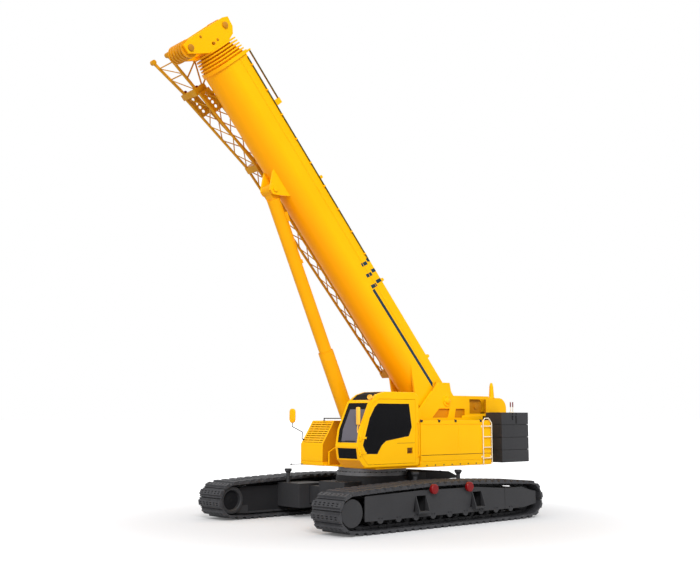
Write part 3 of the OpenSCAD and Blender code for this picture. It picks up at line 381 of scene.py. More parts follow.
for side, body, turn in TRACKS:
    side_frame = soften("track_frame_" + side, 0.005, dark_paint, body, 1)
    second_finish(side_frame, inner_side_painted_shade, lambda at, out: out.y * turn < -0.5)
    for part, edge, segments in (("track_sleeves_", 0.014, 2), ("track_drive_", 0.01, 2),
                                 ("track_rollers_", 0.006, 1)):
        soften(part + side, edge, dark_paint, body, segments)
    frame_low, frame_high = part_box("track_frame_" + side)
    plate_y = frame_high[1] if turn > 0 else frame_low[1]
    guard_y = frame_low[1] if turn > 0 else frame_high[1]
    roller_bolts = bmesh.new()
    for x in ROLLER_X:
        for shift in (-0.045, 0.045):
            add_bolt(roller_bolts, (x + shift, plate_y + turn * PLATE_T, ROLLER_EYE_Z + 0.02),
                     (0, turn, 0), 0.013)
    make_piece("roller_bolts_" + side, roller_bolts, bolt_steel, body)
    side_plates = bmesh.new()
    for outline in (AHEAD_PLATE, MIDDLE_PLATE, BEHIND_PLATE, END_PLATE):
        add_plate(side_plates, [(x, plate_y - turn * PLATE_SUNK, z) for x, z in outline],
                  (0, turn * (PLATE_T + PLATE_SUNK), 0))
    for x in ROLLER_X:
        add_rod(side_plates, (x, plate_y - turn * 0.03, ROLLER_EYE_Z),
                (x, plate_y + turn * (PLATE_T - 0.001), ROLLER_EYE_Z), ROLLER_EYE_R, 24)
    make_piece("side_plates_" + side, side_plates, dark_paint, body)
    skirt = bmesh.new()
    skirt_y = sorted((guard_y + turn * SKIRT_NEAR, guard_y + turn * (SKIRT_NEAR + SKIRT_T)))
    guide_y = (turn * TRACK_Y - GUIDE_HALF, turn * TRACK_Y + GUIDE_HALF)
    add_block(skirt, (-SKIRT_HALF, skirt_y[0], SKIRT_LOW), (SKIRT_HALF, skirt_y[1], SKIRT_HIGH),
              round_by=0.004)
    for x in ROLLER_X:
        add_bolt(skirt, (x, guard_y + turn * SKIRT_NEAR, 0.155), (0, -turn, 0), 0.011)
    for way in (1, -1):
        add_plate(skirt, [(way * x, skirt_y[0], z) for x, z in END_GUARD], (0, SKIRT_T, 0))
        add_plate(skirt, [(way * x, guide_y[0], z) for x, z in CHAIN_GUIDE], (0, 2 * GUIDE_HALF, 0))
    add_block(skirt, (-0.5, guide_y[0], GUIDE_LOW), (0.5, guide_y[1], 0.888), round_by=0.006)
    make_piece("guard_skirt_" + side, skirt, dark_paint, body)
    beam_ends = bmesh.new()
    for x in (BEAM_X, -BEAM_X):
        for cheek in (-CHEEK_X, CHEEK_X):
            near_x, near_y = x + cheek - CHEEK_T / 2, plate_y - turn * CHEEK_SUNK
            cheek_line = [(near_x, near_y + turn * out, z) for out, z in BEAM_CHEEK]
            add_plate(beam_ends, cheek_line, (CHEEK_T, 0, 0))
        lip = sorted((plate_y - turn * CHEEK_SUNK, plate_y + turn * LIP_OUT))
        add_block(beam_ends, (x - LIP_HALF, lip[0], LIP_LOW), (x + LIP_HALF, lip[1], LIP_HIGH),
                  round_by=0.008)
        for shift in (-0.08, 0.08):
            add_bolt(beam_ends, (x + shift, plate_y + turn * 0.07, LIP_HIGH - 0.001), (0, 0, 1), 0.016)
    make_piece("beam_ends_" + side, beam_ends, dark_paint, body)
    motor_cover = bmesh.new()
    hub_at = Vector((WHEEL_X, guard_y, WHEEL_Z))
    add_turned(motor_cover, MOTOR_COVER, hub_at, (0, -turn, 0), 48)
    for ahead, up in around(14):
        add_bolt(motor_cover, hub_at + Vector((HUB_BOLT_R * ahead, -turn * HUB_BOLT_OUT, HUB_BOLT_R * up)),
                 (0, -turn, 0), 0.012)
    hub = make_piece("motor_cover_" + side, motor_cover, dark_paint, body)
    second_finish(hub, recess_painted_shade, lambda at, out: math.hypot(at.x - WHEEL_X, at.z - WHEEL_Z) < RECESS_R)


# Track shoes and chain
# Cast steel shoes, bolted to two strands of chain links, close round both end
# wheels. Each has a broad block lug with two rows of cast pits in its face.
SHOE_W, SHOE_T, LUG_H, SHOES = 0.95, 0.040, 0.045, 60
PATH_R, TOP_Z, FLAT_X, CREST_X, SAG_X, SAG = 0.366, 0.946, 2.45, 0.6, 1.95, 0.048


def wheel_arc(x, first, last):
    turns = [math.radians(first + (last - first) * i / 12) for i in range(13)]
    return [Vector((x + PATH_R * math.cos(a), WHEEL_Z + PATH_R * math.sin(a))) for a in turns]


shoe_path = [Vector((-FLAT_X, SHOE_T + LUG_H)), Vector((FLAT_X, SHOE_T + LUG_H))]
shoe_path += wheel_arc(WHEEL_X, -87, 87)
shoe_path += [Vector((SAG_X, TOP_Z - SAG)), Vector((CREST_X, TOP_Z))]
shoe_path += [Vector((-CREST_X, TOP_Z)), Vector((-SAG_X, TOP_Z - SAG))]
shoe_path += wheel_arc(-WHEEL_X, 93, 267)
steps = [(shoe_path[(i + 1) % len(shoe_path)] - p).length for i, p in enumerate(shoe_path)]
pitch = sum(steps) / SHOES


def along_path(distance):
    distance %= sum(steps)
    for i, step in enumerate(steps):
        if distance <= step:
            return shoe_path[i].lerp(shoe_path[(i + 1) % len(shoe_path)], distance / step)
        distance -= step
    return shoe_path[0]


def shoe_place(k, y):
    back, ahead = along_path((k - 0.4) * pitch), along_path((k + 0.4) * pitch)
    go = (ahead - back).normalized()
    mid = (back + ahead) / 2
    return Matrix(((go.x, 0, go.y, mid.x), (0, -1, 0, y), (go.y, 0, -go.x, mid.y), (0, 0, 0, 1)))


FACE_W, FACE_HALF, FOOT_HALF, SHOE_HALF = SHOE_W * 0.985, 0.26 * pitch, 0.32 * pitch, 0.485 * pitch
PIT_COLUMNS, PIT_ROWS, PIT_RIM, PIT_DEEP = 5, 13, 0.004, 0.03
STRANDS, LINK_HALF, LINK_PIN_HALF, LINK_PIN_R, LINK_PIN_Z = (-0.09, 0.09), 0.024, 0.04, 0.02, -0.032


def add_shoe(mesh):
    """One shoe lying with its lug up: face with pits, lug sides, plate and underside, then the
    thin lip that closes the gap to the next shoe on a bend, and the links with their pins."""
    face = bmesh.ops.create_grid(mesh, x_segments=PIT_COLUMNS, y_segments=PIT_ROWS, size=0.5)["verts"]
    bmesh.ops.scale(mesh, vec=(2 * FACE_HALF, FACE_W, 1), verts=face)
    bmesh.ops.translate(mesh, vec=(0, 0, SHOE_T + LUG_H), verts=face)
    column, row = 2 * FACE_HALF / PIT_COLUMNS, FACE_W / PIT_ROWS
    pits = [f for f in mesh.faces if round(abs(f.calc_center_median().x) / column) == 1
            and round(f.calc_center_median().y / row) % 2 == 1]
    bmesh.ops.inset_individual(mesh, faces=pits, thickness=PIT_RIM)
    bmesh.ops.translate(mesh, vec=(0, 0, -PIT_DEEP), verts=list({v for f in pits for v in f.verts}))
    for wide, high in ((FOOT_HALF / FACE_HALF, SHOE_T), (SHOE_HALF / FOOT_HALF, SHOE_T), (1, 0)):
        rim = [e for e in mesh.edges if e.is_boundary]
        grown = bmesh.ops.extrude_edge_only(mesh, edges=rim)["geom"]
        ring = [v for v in grown if isinstance(v, bmesh.types.BMVert)]
        bmesh.ops.scale(mesh, vec=(wide, 1, 1), verts=ring)
        bmesh.ops.translate(mesh, vec=(0, 0, high - ring[0].co.z), verts=ring)
    bmesh.ops.contextual_create(mesh, geom=[e for e in mesh.edges if e.is_boundary])
    add_block(mesh, (0.40 * pitch, -0.47 * SHOE_W, -0.014), (0.58 * pitch, 0.47 * SHOE_W, -0.003))
    for strand in STRANDS:
        add_block(mesh, (-0.62 * pitch, strand - LINK_HALF, -0.065),
                  (0.42 * pitch, strand + LINK_HALF, -0.004))
        add_rod(mesh, (-0.5 * pitch, strand - LINK_PIN_HALF, LINK_PIN_Z),
                (-0.5 * pitch, strand + LINK_PIN_HALF, LINK_PIN_Z), LINK_PIN_R, 8)


shoe_steel = cast_steel("cast_track_steel", "37373A", "48484A", 0.55, 22, 0.3, 0.15)
one_shoe = bmesh.new()
add_shoe(one_shoe)
shoe_data = bpy.data.meshes.new("one_shoe")
one_shoe.to_mesh(shoe_data)
one_shoe.free()
for side, body, turn in TRACKS:
    belt = bmesh.new()
    for k in range(SHOES):
        before = set(belt.verts)
        belt.from_mesh(shoe_data)
        bmesh.ops.transform(belt, matrix=shoe_place(k, turn * TRACK_Y),
                            verts=[v for v in belt.verts if v not in before])
    make_piece("track_shoes_" + side, belt, shoe_steel, body, ("track_belt_" + side,))


# Carrier caps
# The upper carrier rollers end outside the frame in domed hub caps, pressed
# from sheet and stove-enamelled in deep red.
red_gloss = sprayed_paint("red_stove_enamel", "7A090E", "66070B", 0.32, 0.25, 24, 0.03)
CAP_Y, CAP_DOME = 2.715, 0.03
for side, body, _ in TRACKS:
    carrier = "track_carriers_" + side
    hubs = copy_solid(carrier)
    rim_y = max(abs(corner[1]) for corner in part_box(carrier))
    rims = [e for e in hubs.edges if all(abs(v.co.y) > rim_y - 0.002 for v in e.verts)]
    bevel_edges(hubs, rims, CAP_DOME, 4)
    caps = make_piece("carrier_hubs_" + side, hubs, red_gloss, body, (carrier,))
    second_finish(caps, dark_paint, lambda at, out: abs(at.y) <= CAP_Y)


# Slew ring
# A forged ring in two halves. The lower one is painted with the carbody up to
# its turned band, which is left bright like the upper half and shows paler.
ring_steel = cast_steel("turned_bearing_steel", "77787B", "8C8D8F", 0.4, 9)
RING_BAND_Z, RING_BOLTS, RING_BOLT_INSET = 1.085, 40, 0.022


def show(node, finish):
    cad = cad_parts[node]
    cad.data.materials.clear()
    cad.data.materials.append(finish)


ring = copy_solid("slew_ring_lower")
bmesh.ops.bisect_plane(ring, geom=ring.verts[:] + ring.edges[:] + ring.faces[:],
                       plane_co=(0, 0, RING_BAND_Z), plane_no=(0, 0, 1))
ring_skin = make_piece("slew_ring_skin", ring, dark_paint, "undercarriage",
                       ("slew_ring_lower",))
second_finish(ring_skin, ring_steel, lambda at, out: at.z > RING_BAND_Z)
show("slew_ring_upper", ring_steel)
ring_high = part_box("slew_ring_lower")[1]
bolt_circle = ring_high[0] - RING_BOLT_INSET
ring_bolts = bmesh.new()
for ahead, left in around(RING_BOLTS):
    add_bolt(ring_bolts, (bolt_circle * ahead, bolt_circle * left, ring_high[2]), (0, 0, 1), 0.013)
make_piece("slew_ring_bolts", ring_bolts, bolt_steel, "undercarriage")


# Slewing platform
# Folded and welded plate, shot-blasted and sprayed in yellow enamel. The film
# levels well, so it is even in colour with only a fine orange peel. Faces that
# look down are painted a deeper orange, as painted shade.
yellow = sprayed_paint("yellow_gloss_enamel", "FFBE06", "FCB904", 0.34, 0.09, 26, 0.02, "FFA803")
soften("platform", 0.012, yellow, "upper")
deck_low, deck_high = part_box("platform")
EDGE_BOLTS, EDGE_BOLT_X, EDGE_BOLT_STEP, EDGE_BOLT_UP = 7, -0.35, 0.3, 0.045
edge_bolts = bmesh.new()
for i in range(EDGE_BOLTS):
    bolt_x = EDGE_BOLT_X - EDGE_BOLT_STEP * i
    add_bolt(edge_bolts, (bolt_x, deck_high[1], deck_low[2] + EDGE_BOLT_UP), (0, 1, 0), 0.013)
make_piece("platform_edge_bolts", edge_bolts, bolt_steel, "upper")


# Left house
# A sheet-steel box for valves and tanks behind the cab, with a lift-off top.
# Black over-centre latches hold its top edge and a brown sealant fills the base groove.
soften("left_house", 0.02, yellow, "upper", 3)
black_rubber = sprayed_paint("black_moulded_rubber", "1B1B1D", "222224", 0.6, 0.2, 12, 0.05)
brown_seal = sprayed_paint("brown_edge_sealant", "6A3F08", "5A3607", 0.55, 0.2, 10, 0.05)
house_low, house_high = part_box("left_house")
LATCH_X, LATCH_HALF, HOOK_HALF = (-0.18, -0.80, -1.40, -2.36), 0.035, 0.045
GROOVE_LOW, GROOVE_HIGH = 0.145, 0.157
latches = bmesh.new()
for x in LATCH_X:
    corner = Vector((x, house_high[1], house_high[2]))
    add_block(latches, corner + Vector((-LATCH_HALF, -0.02, -0.05)),
              corner + Vector((LATCH_HALF, 0.008, 0.004)), round_by=0.006)
    add_rod(latches, corner + Vector((-HOOK_HALF, -0.004, -0.004)),
            corner + Vector((HOOK_HALF, -0.004, 0.012)), 0.01, 10)
make_piece("house_latches", latches, black_rubber, "upper")
seal = bmesh.new()
add_block(seal, (house_low[0] + 0.01, house_high[1] - 0.007, house_low[2] + GROOVE_LOW),
          (house_high[0] - 0.01, house_high[1] + 0.002, house_low[2] + GROOVE_HIGH), round_by=0.002)
make_piece("house_base_seal", seal, brown_seal, "upper")


# Ladder
# Round aluminium tube, welded and bead-blasted to a pale satin. Four short
# stays hold it off the side of the house.
def add_tube(mesh, points, radius, sides):
    """A bent tube: straight lengths with a ball at each bend."""
    for start, end in zip(points, points[1:]):
        add_rod(mesh, start, end, radius, sides)
    for bend in points[1:-1]:
        bmesh.ops.create_icosphere(mesh, subdivisions=2, radius=radius, matrix=Matrix.Translation(bend))


pale_aluminium = cast_steel("bead_blasted_aluminium", "E9DDC4", "F2E9D6", 0.5, 8, 0.3, 0.1)
FRONT_RAIL, BACK_RAIL, LADDER_Y, RAIL_R = -2.39, -2.725, 1.65, 0.013
LADDER_LOW, LADDER_HIGH = 1.33, 2.487
RUNGS, STAYS = (1.471, 1.742, 2.013, 2.284), (1.50, 2.28)
HOOP = ((FRONT_RAIL, LADDER_LOW), (FRONT_RAIL, 2.40), (FRONT_RAIL - 0.06, LADDER_HIGH),
        (BACK_RAIL + 0.12, LADDER_HIGH), (BACK_RAIL, 2.37), (BACK_RAIL, LADDER_LOW))
STAY_FLANGE = ((0, 0.012), (0.026, 0.01), (0.028, 0), (0, 0))
ladder = bmesh.new()
add_tube(ladder, [(x, LADDER_Y, z) for x, z in HOOP], RAIL_R, 12)
for z in RUNGS:
    add_rod(ladder, (FRONT_RAIL, LADDER_Y, z), (BACK_RAIL, LADDER_Y, z), RAIL_R, 12)
for x in (FRONT_RAIL, BACK_RAIL):
    for z in STAYS:
        add_rod(ladder, (x, LADDER_Y, z), (x, house_high[1] - 0.01, z), 0.01, 10)
        add_turned(ladder, STAY_FLANGE, (x, house_high[1], z), (0, 1, 0), 16)
make_piece("ladder_tubes", ladder, pale_aluminium, "upper", ("ladder",))


# Right hood and mirror
# A sheet-steel engine hood with a louvred sloping front; its side towards the
# boom is painted a darker, duller yellow as painted shade. A tall mirror in a
# yellow shell stands ahead of it on a bent tube, a low rail runs on top and a
# small lamp sits low on an arm.
hood_skin = soften("right_hood", 0.018, yellow, "upper", 3)
# A darker, duller yellow as painted shade, for the hood's side towards the boom, the inside of the boom
# frame and the winch drum.
inside_painted_shade = sprayed_paint("inside_painted_shade_enamel", "D08A0A", "C07D08", 0.4, 0.12, 26, 0.03)
second_finish(hood_skin, inside_painted_shade, lambda at, out: out.y > 0.9)
soften("hood_grille", 0.002, yellow, "upper", 1)
show("engine", bolt_steel)
hood_low, hood_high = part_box("right_hood")
NOSE_SHARE, SLOPE_RUN, MIRROR_INSET, ARM_R = 0.422, 0.39, 0.03, 0.011
ARM_BENDS = ((-0.03, 0, 0.30), (0.31, 0, 0.445), (0.30, 0, 0.545))
ARM_FLANGE = ((0, 0.01), (0.026, 0.008), (0.03, 0), (0, 0))
nose_z = hood_low[2] + NOSE_SHARE * (hood_high[2] - hood_low[2])
nose = Vector((hood_high[0], hood_low[1] + MIRROR_INSET, nose_z))
slope = Vector((-SLOPE_RUN, 0, hood_high[2] - nose.z)).normalized()
off_slope = Vector((slope.z, 0, -slope.x))
arm_foot = nose + slope * 0.125
arm_points = [arm_foot, arm_foot + off_slope * 0.06] + [nose + Vector(bend) for bend in ARM_BENDS]
mirror_arm = bmesh.new()
add_tube(mirror_arm, arm_points, ARM_R, 10)
add_turned(mirror_arm, ARM_FLANGE, arm_foot, off_slope, 16)
make_piece("mirror_arm", mirror_arm, bolt_steel, "upper")
SHELL_HALF, SHELL_OVAL, SHELL_EDGE, GLASS_Y, GLASS_Z = 0.022, 0.09, 0.014, 0.025, 0.03
mirror_low = arm_points[-1] + Vector((-SHELL_HALF, -0.11, -0.01))
mirror_high = arm_points[-1] + Vector((SHELL_HALF, 0.11, 0.355))
mirror_shell = bmesh.new()
add_block(mirror_shell, mirror_low, mirror_high)
across = [e for e in mirror_shell.edges if abs(e.verts[0].co.x - e.verts[1].co.x) > SHELL_HALF / 2]
bevel_edges(mirror_shell, across, SHELL_OVAL, 6)
bevel_edges(mirror_shell, sharp_edges(mirror_shell, 60), SHELL_EDGE, 3)
make_piece("mirror_shell", mirror_shell, yellow, "upper", ("fittings",))
# Silvered glass is smooth and fully mirror bright.
silver_glass = cast_steel("silvered_mirror_glass", "C9CDD0", "D2D5D8", 0.12, 40, 0.5, 1.0)
mirror_face = bmesh.new()
add_block(mirror_face, mirror_low + Vector((-0.003, GLASS_Y, GLASS_Z)),
          (mirror_low.x + 0.004, mirror_high.y - GLASS_Y, mirror_high.z - GLASS_Z), round_by=0.003)
make_piece("mirror_face", mirror_face, silver_glass, "upper")
HOOD_RAIL_Y, HOOD_RAIL_X, HOOD_RAIL_R = -0.95, (0.1, 0.8), 0.012
RAIL_FLANGE = ((0, 0.012), (0.03, 0.01), (0.032, 0), (0, 0))
hood_rail = bmesh.new()
rail_z = hood_high[2] + 0.055
for x in HOOD_RAIL_X:
    add_rod(hood_rail, (x, HOOD_RAIL_Y, hood_high[2] - 0.005), (x, HOOD_RAIL_Y, rail_z), HOOD_RAIL_R, 10)
    add_turned(hood_rail, RAIL_FLANGE, (x, HOOD_RAIL_Y, hood_high[2]), (0, 0, 1), 16)
add_rod(hood_rail, (HOOD_RAIL_X[0] - HOOD_RAIL_R, HOOD_RAIL_Y, rail_z),
        (HOOD_RAIL_X[1] + HOOD_RAIL_R, HOOD_RAIL_Y, rail_z), 0.013, 10)
make_piece("hood_rail", hood_rail, bolt_steel, "upper")
LOW_LAMP = (1.43, -1.5, 1.32)
LAMP_CUP = ((0, 0.03), (0.018, 0.026), (0.024, 0.01), (0.024, 0), (0, -0.004))
lamp_arm = bmesh.new()
add_rod(lamp_arm, (hood_high[0] - 0.02, -1.4, 1.325), LOW_LAMP, 0.009, 10)
add_turned(lamp_arm, LAMP_CUP, LOW_LAMP, (1, 0, 0), 20)
make_piece("low_lamp_arm", lamp_arm, ring_steel, "upper")


# Boom frame
# Thick burnt-out plates welded to a floor box and sprayed with the platform.
# Its inside is painted a darker, duller yellow as painted shade. Bolted keepers
# hold the boom foot pin and the lift cylinder's lower pin.
INSIDE_X, INSIDE_Y = -1.3, 0.54
frame_skin = soften("boom_frame", 0.008, yellow, "upper")
second_finish(frame_skin, inside_painted_shade, lambda at, out: at.x < INSIDE_X and abs(at.y) < INSIDE_Y)
FOOT, LOW_PIN = Vector((-2.2, 0, 2.95)), Vector((0.456, 0, 1.75))
KEEPER = ((0, 0.022), (0.07, 0.022), (0.085, 0.012), (0.085, 0), (0, 0))
KEEPER_Y, FOOT_BOLT_R, FOOT_BOLT_Y, LOW_BOLT_R, LOW_BOLT_Y = 0.6, 0.12, 0.585, 0.075, 0.3
pin_keepers = bmesh.new()
for turn in (1, -1):
    add_turned(pin_keepers, KEEPER, FOOT + Vector((0, turn * KEEPER_Y, 0)), (0, turn, 0), 28)
    for ahead, up in around(6):
        add_bolt(pin_keepers, FOOT + Vector((FOOT_BOLT_R * ahead, turn * FOOT_BOLT_Y, FOOT_BOLT_R * up)),
                 (0, turn, 0), 0.013)
        add_bolt(pin_keepers, LOW_PIN + Vector((LOW_BOLT_R * ahead, turn * LOW_BOLT_Y, LOW_BOLT_R * up)),
                 (0, turn, 0), 0.011)
make_piece("pin_keepers", pin_keepers, yellow, "upper")
APRON_LOW, APRON_HIGH = Vector((-3.62, 0.556, 2.335)), Vector((-2.78, 0.572, 2.565))
APRON_BOLTS, APRON_BOLT_INSET, APRON_BOLT_STEP, APRON_BOLT_Z = 4, 0.08, 0.22, 2.53
aprons = bmesh.new()
for turn in (1, -1):
    add_side_block(aprons, turn, APRON_LOW, APRON_HIGH, 0.005)
    for i in range(APRON_BOLTS):
        bolt_x = APRON_HIGH.x - APRON_BOLT_INSET - i * APRON_BOLT_STEP
        add_bolt(aprons, (bolt_x, turn * APRON_HIGH.y, APRON_BOLT_Z), (0, turn, 0), 0.012)
make_piece("bay_aprons", aprons, yellow, "upper")


# Rear housing and winch
# A rolled sheet cover over the winch motors, with a tapered post, and between
# the frame plates a cast drum with turned rope grooves.
soften("rear_housing", 0.03, yellow, "upper", 3)
drum_low, drum_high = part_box("winch_drum")
drum_centre = (Vector(drum_low) + Vector(drum_high)) / 2
DRUM_R, FLANGE_R, DRUM_W, FLANGE_T, BORE_R, FLANGE_BOLT_R = 0.22, 0.284, 0.43, 0.039, 0.061, 0.14
GROOVES, GROOVE_DEEP = 34, 0.007
groove_step = 2 * DRUM_W / GROOVES
barrel_line = []
for i in range(GROOVES):
    start = -DRUM_W + i * groove_step
    barrel_line += [(DRUM_R, start), (DRUM_R - GROOVE_DEEP, start + 0.3 * groove_step),
                    (DRUM_R - GROOVE_DEEP, start + 0.7 * groove_step)]
rim = DRUM_W + FLANGE_T
left_flange = [(BORE_R, -rim), (FLANGE_R - 0.02, -rim), (FLANGE_R, -rim + 0.01), (FLANGE_R, -DRUM_W)]
right_flange = [(DRUM_R, DRUM_W), (FLANGE_R, DRUM_W), (FLANGE_R, rim - 0.01), (FLANGE_R - 0.02, rim),
                (BORE_R, rim), (BORE_R, -rim)]
winch = bmesh.new()
add_turned(winch, left_flange + barrel_line + right_flange, drum_centre, (0, 1, 0), 48)
for ahead, up in around(8):
    add_bolt(winch, drum_centre + Vector((FLANGE_BOLT_R * ahead, rim - 0.003, FLANGE_BOLT_R * up)),
             (0, 1, 0), 0.014)
# The drum is painted with the frame's darker inside yellow, as painted shade.
make_piece("winch_drum_skin", winch, inside_painted_shade, "drum", ("winch_drum",))


# Counterweight
# Cast slabs in a stack, painted dark grey, with lifting pins across the side
# slots. Two slim rods with red tips stand on top as markers.
soften("counterweight", 0.014, dark_paint, "upper")
weight_low, weight_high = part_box("counterweight")
SLABS, SLAB_STEP, SLAB_GAP, SLAB_LAP, NOTCH_Y = 4, 0.33, 0.010, 0.004, 1.06
PIN_X, PIN_INSET, PIN_DROP, PIN_HALF = (-0.452, -0.602), 0.022, 0.075, Vector((0.027, 0, 0))
MARKER_X, MARKER_Y = (-0.80, -0.90), 1.25
MARKER_FLANGE = ((0, 0.02), (0.03, 0.016), (0.034, 0), (0, 0))
MARKER_TIP = ((0, 0.29), (0.01, 0.285), (0.016, 0.27), (0.016, 0.15), (0, 0.15))
spacers = bmesh.new()
for i in range(1, SLABS):
    joint_high = weight_low[2] + i * SLAB_STEP + SLAB_LAP
    joint_low = joint_high - SLAB_GAP - 2 * SLAB_LAP
    for turn in (1, -1):
        add_side_block(spacers, turn, (weight_low[0] + 0.10, NOTCH_Y, joint_low),
                       (weight_high[0] - 0.015, weight_high[1] - 0.016, joint_high))
    add_block(spacers, (weight_low[0] + 0.015, weight_low[1] + 0.13, joint_low),
              (weight_low[0] + 0.13, weight_high[1] - 0.13, joint_high))
make_piece("slab_spacers", spacers, black_rubber, "upper")
lift_pins = bmesh.new()
for turn in (1, -1):
    for shift in PIN_X:
        pin_y = turn * (weight_high[1] - PIN_INSET)
        pin = Vector((weight_high[0] + shift, pin_y, weight_high[2] - PIN_DROP))
        add_rod(lift_pins, pin - PIN_HALF, pin + PIN_HALF, 0.02, 14)
make_piece("lifting_pins", lift_pins, dark_paint, "upper")
rods = bmesh.new()
tips = bmesh.new()
for x in MARKER_X:
    marker = Vector((weight_high[0] + x, MARKER_Y, weight_high[2]))
    add_rod(rods, marker - Vector((0, 0, 0.01)), marker + Vector((0, 0, 0.2)), 0.012, 10)
    add_turned(rods, MARKER_FLANGE, marker, (0, 0, 1), 16)
    add_turned(tips, MARKER_TIP, marker, (0, 0, 1), 14)
make_piece("marker_rods", rods, pale_aluminium, "upper")
make_piece("marker_tips", tips, red_gloss, "upper")


# Operator cab
# Pressed and welded sheet with broadly rounded edges, sprayed yellow, on a low
# base frame. The door has a recessed handle, a seam below the glass and two hinges.
CAB_SPLITS = (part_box("cab_base")[1][2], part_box("cab_roof")[0][2])
cab_low, cab_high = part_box("cab_shell")
cab_side = (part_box("cab_base")[0][1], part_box("cab_base")[1][1])
CAB_EDGE, MIDDLE_Z = 0.045, 2.25
middle_x = (cab_low[0] + cab_high[0]) / 2


def outside_edge(edge):
    """True for an edge on the cab's outer outline, but not on a window, the door or a split."""
    middle = (edge.verts[0].co + edge.verts[1].co) / 2
    outwards = middle - Vector((middle_x, middle.y, MIDDLE_Z))
    for face in edge.link_faces:
        at = face.calc_center_median()
        if min(abs(at.z - split) for split in CAB_SPLITS) < 0.004 and abs(face.normal.z) > 0.99:
            return False
        if abs(face.normal.y) < 0.5 and face.normal.dot(outwards) < 0.05:
            return False
        if abs(face.normal.y) > 0.5 and min(abs(at.y - y) for y in cab_side) > 0.002:
            return False
    return len(edge.link_faces) == 2 and edge.calc_face_angle(0) > math.radians(16)


for part in ("cab_base", "cab_shell", "cab_roof"):
    panel = copy_solid(part)
    panel.normal_update()
    bevel_edges(panel, [e for e in panel.edges if outside_edge(e)], CAB_EDGE, 5)
    even_out(make_piece(part + "_skin", panel, yellow, "upper", (part,), 30))
soften("cab_door", 0.006, yellow, "door")
DOOR_Y, GRIP_X, GRIP_R = cab_side[1], -0.04, 0.013
GRIP_LINE = ((-0.01, 1.55), (0.05, 1.59), (0.05, 2.35), (-0.01, 2.39))
HANDLE_PAN = ((0.142, DOOR_Y - 0.024, 1.652), (0.314, DOOR_Y - 0.016, 1.782))
HANDLE_BAR = ((0.16, DOOR_Y - 0.02, 1.70), (0.296, DOOR_Y + 0.002, 1.735))
SEAM = ((0.06, DOOR_Y - 0.004, 1.896), (0.66, DOOR_Y + 0.0015, 1.905))
handle = bmesh.new()
add_block(handle, *HANDLE_PAN, round_by=0.003)
add_block(handle, *HANDLE_BAR, round_by=0.009, segments=3)
make_piece("door_handle", handle, brown_seal, "door")
door_seam = bmesh.new()
add_block(door_seam, *SEAM, round_by=0.0015)
make_piece("door_seam", door_seam, brown_seal, "door")
cab_rail = bmesh.new()
add_tube(cab_rail, [(GRIP_X, DOOR_Y + out, z) for out, z in GRIP_LINE], GRIP_R, 12)
make_piece("cab_grab_rail", cab_rail, yellow, "upper")


# Cab glass
# Laminated safety glass, tinted nearly black at the sides and in the roof.
# The windscreen is paler grey, partly a painted reflection of the sky, with a black printed border along
# its edge.
WIPE_MM = 400


def tinted_glass(name, tone, shine):
    """Tinted glass, so dark that little of the cab shows, with a faint haze of wiping."""
    made, tree, place = new_finish(name)
    wipe = add_node(tree, "TexNoise", values={"Scale": 1000 / WIPE_MM, "Detail": 3.0},
                    links={"Vector": place})
    haze = add_node(tree, "MapRange", values={"To Min": 0.02, "To Max": 0.09}, links={"Value": wipe})
    face = add_node(tree, "BsdfPrincipled", values={"Base Color": srgb(tone), "IOR": 1.52, "Alpha": 0.93,
                            "Specular IOR Level": shine}, links={"Roughness": haze})
    add_node(tree, "OutputMaterial", links={"Surface": face})
    return made


side_glass = tinted_glass("black_tinted_glass", "0C0C0F", 0.08)
# The windscreen's paler grey is partly painted reflection.
screen_glass_painted_reflection = tinted_glass("grey_windscreen_painted_reflection", "68646D", 0.15)
# The roof pane has a matt black film that takes the shine off it.
roof_film = sprayed_paint("matt_black_roof_film", "161618", "1B1B1D", 0.75, 0.1, 30, 0.02)
show("door_glass", side_glass)
BORDER_Y, BORDER_Z, SCREEN_X, SCREEN_LOW, SCREEN_HIGH, ROOF_Z = 0.985, 2.70, 1.3, 1.9, 2.88, 2.9


def on_screen(at, out):
    return out.x > 0.3 and at.x > SCREEN_X and SCREEN_LOW < at.z < SCREEN_HIGH


panes = copy_solid("cab_glass")
panes.normal_update()
for co, no in (((0, BORDER_Y, 0), (0, 1, 0)), ((0, 0, BORDER_Z), (0, 0, 1))):
    cut = [f for f in panes.faces if on_screen(f.calc_center_median(), f.normal)]
    cut += list({e for f in cut for e in f.edges}) + list({v for f in cut for v in f.verts})
    bmesh.ops.bisect_plane(panes, geom=cut, plane_co=co, plane_no=no)
cab_panes = make_piece("cab_panes", panes, side_glass, "upper", ("cab_glass",))
second_finish(cab_panes, screen_glass_painted_reflection,
              lambda at, out: on_screen(at, out) and at.y > BORDER_Y and at.z < BORDER_Z)
second_finish(cab_panes, roof_film, lambda at, out: at.z > ROOF_Z)
gaskets = bmesh.new()
door_pane = copy_solid("door_glass")
pane_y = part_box("door_glass")[1][1]
for edge in door_pane.edges:
    ends = [v.co.copy() for v in edge.verts]
    if all(abs(p.y - pane_y) < 1e-4 for p in ends):
        add_rod(gaskets, ends[0], ends[1], 0.009, 8)
door_pane.free()
make_piece("door_glass_gasket", gaskets, black_rubber, "door")


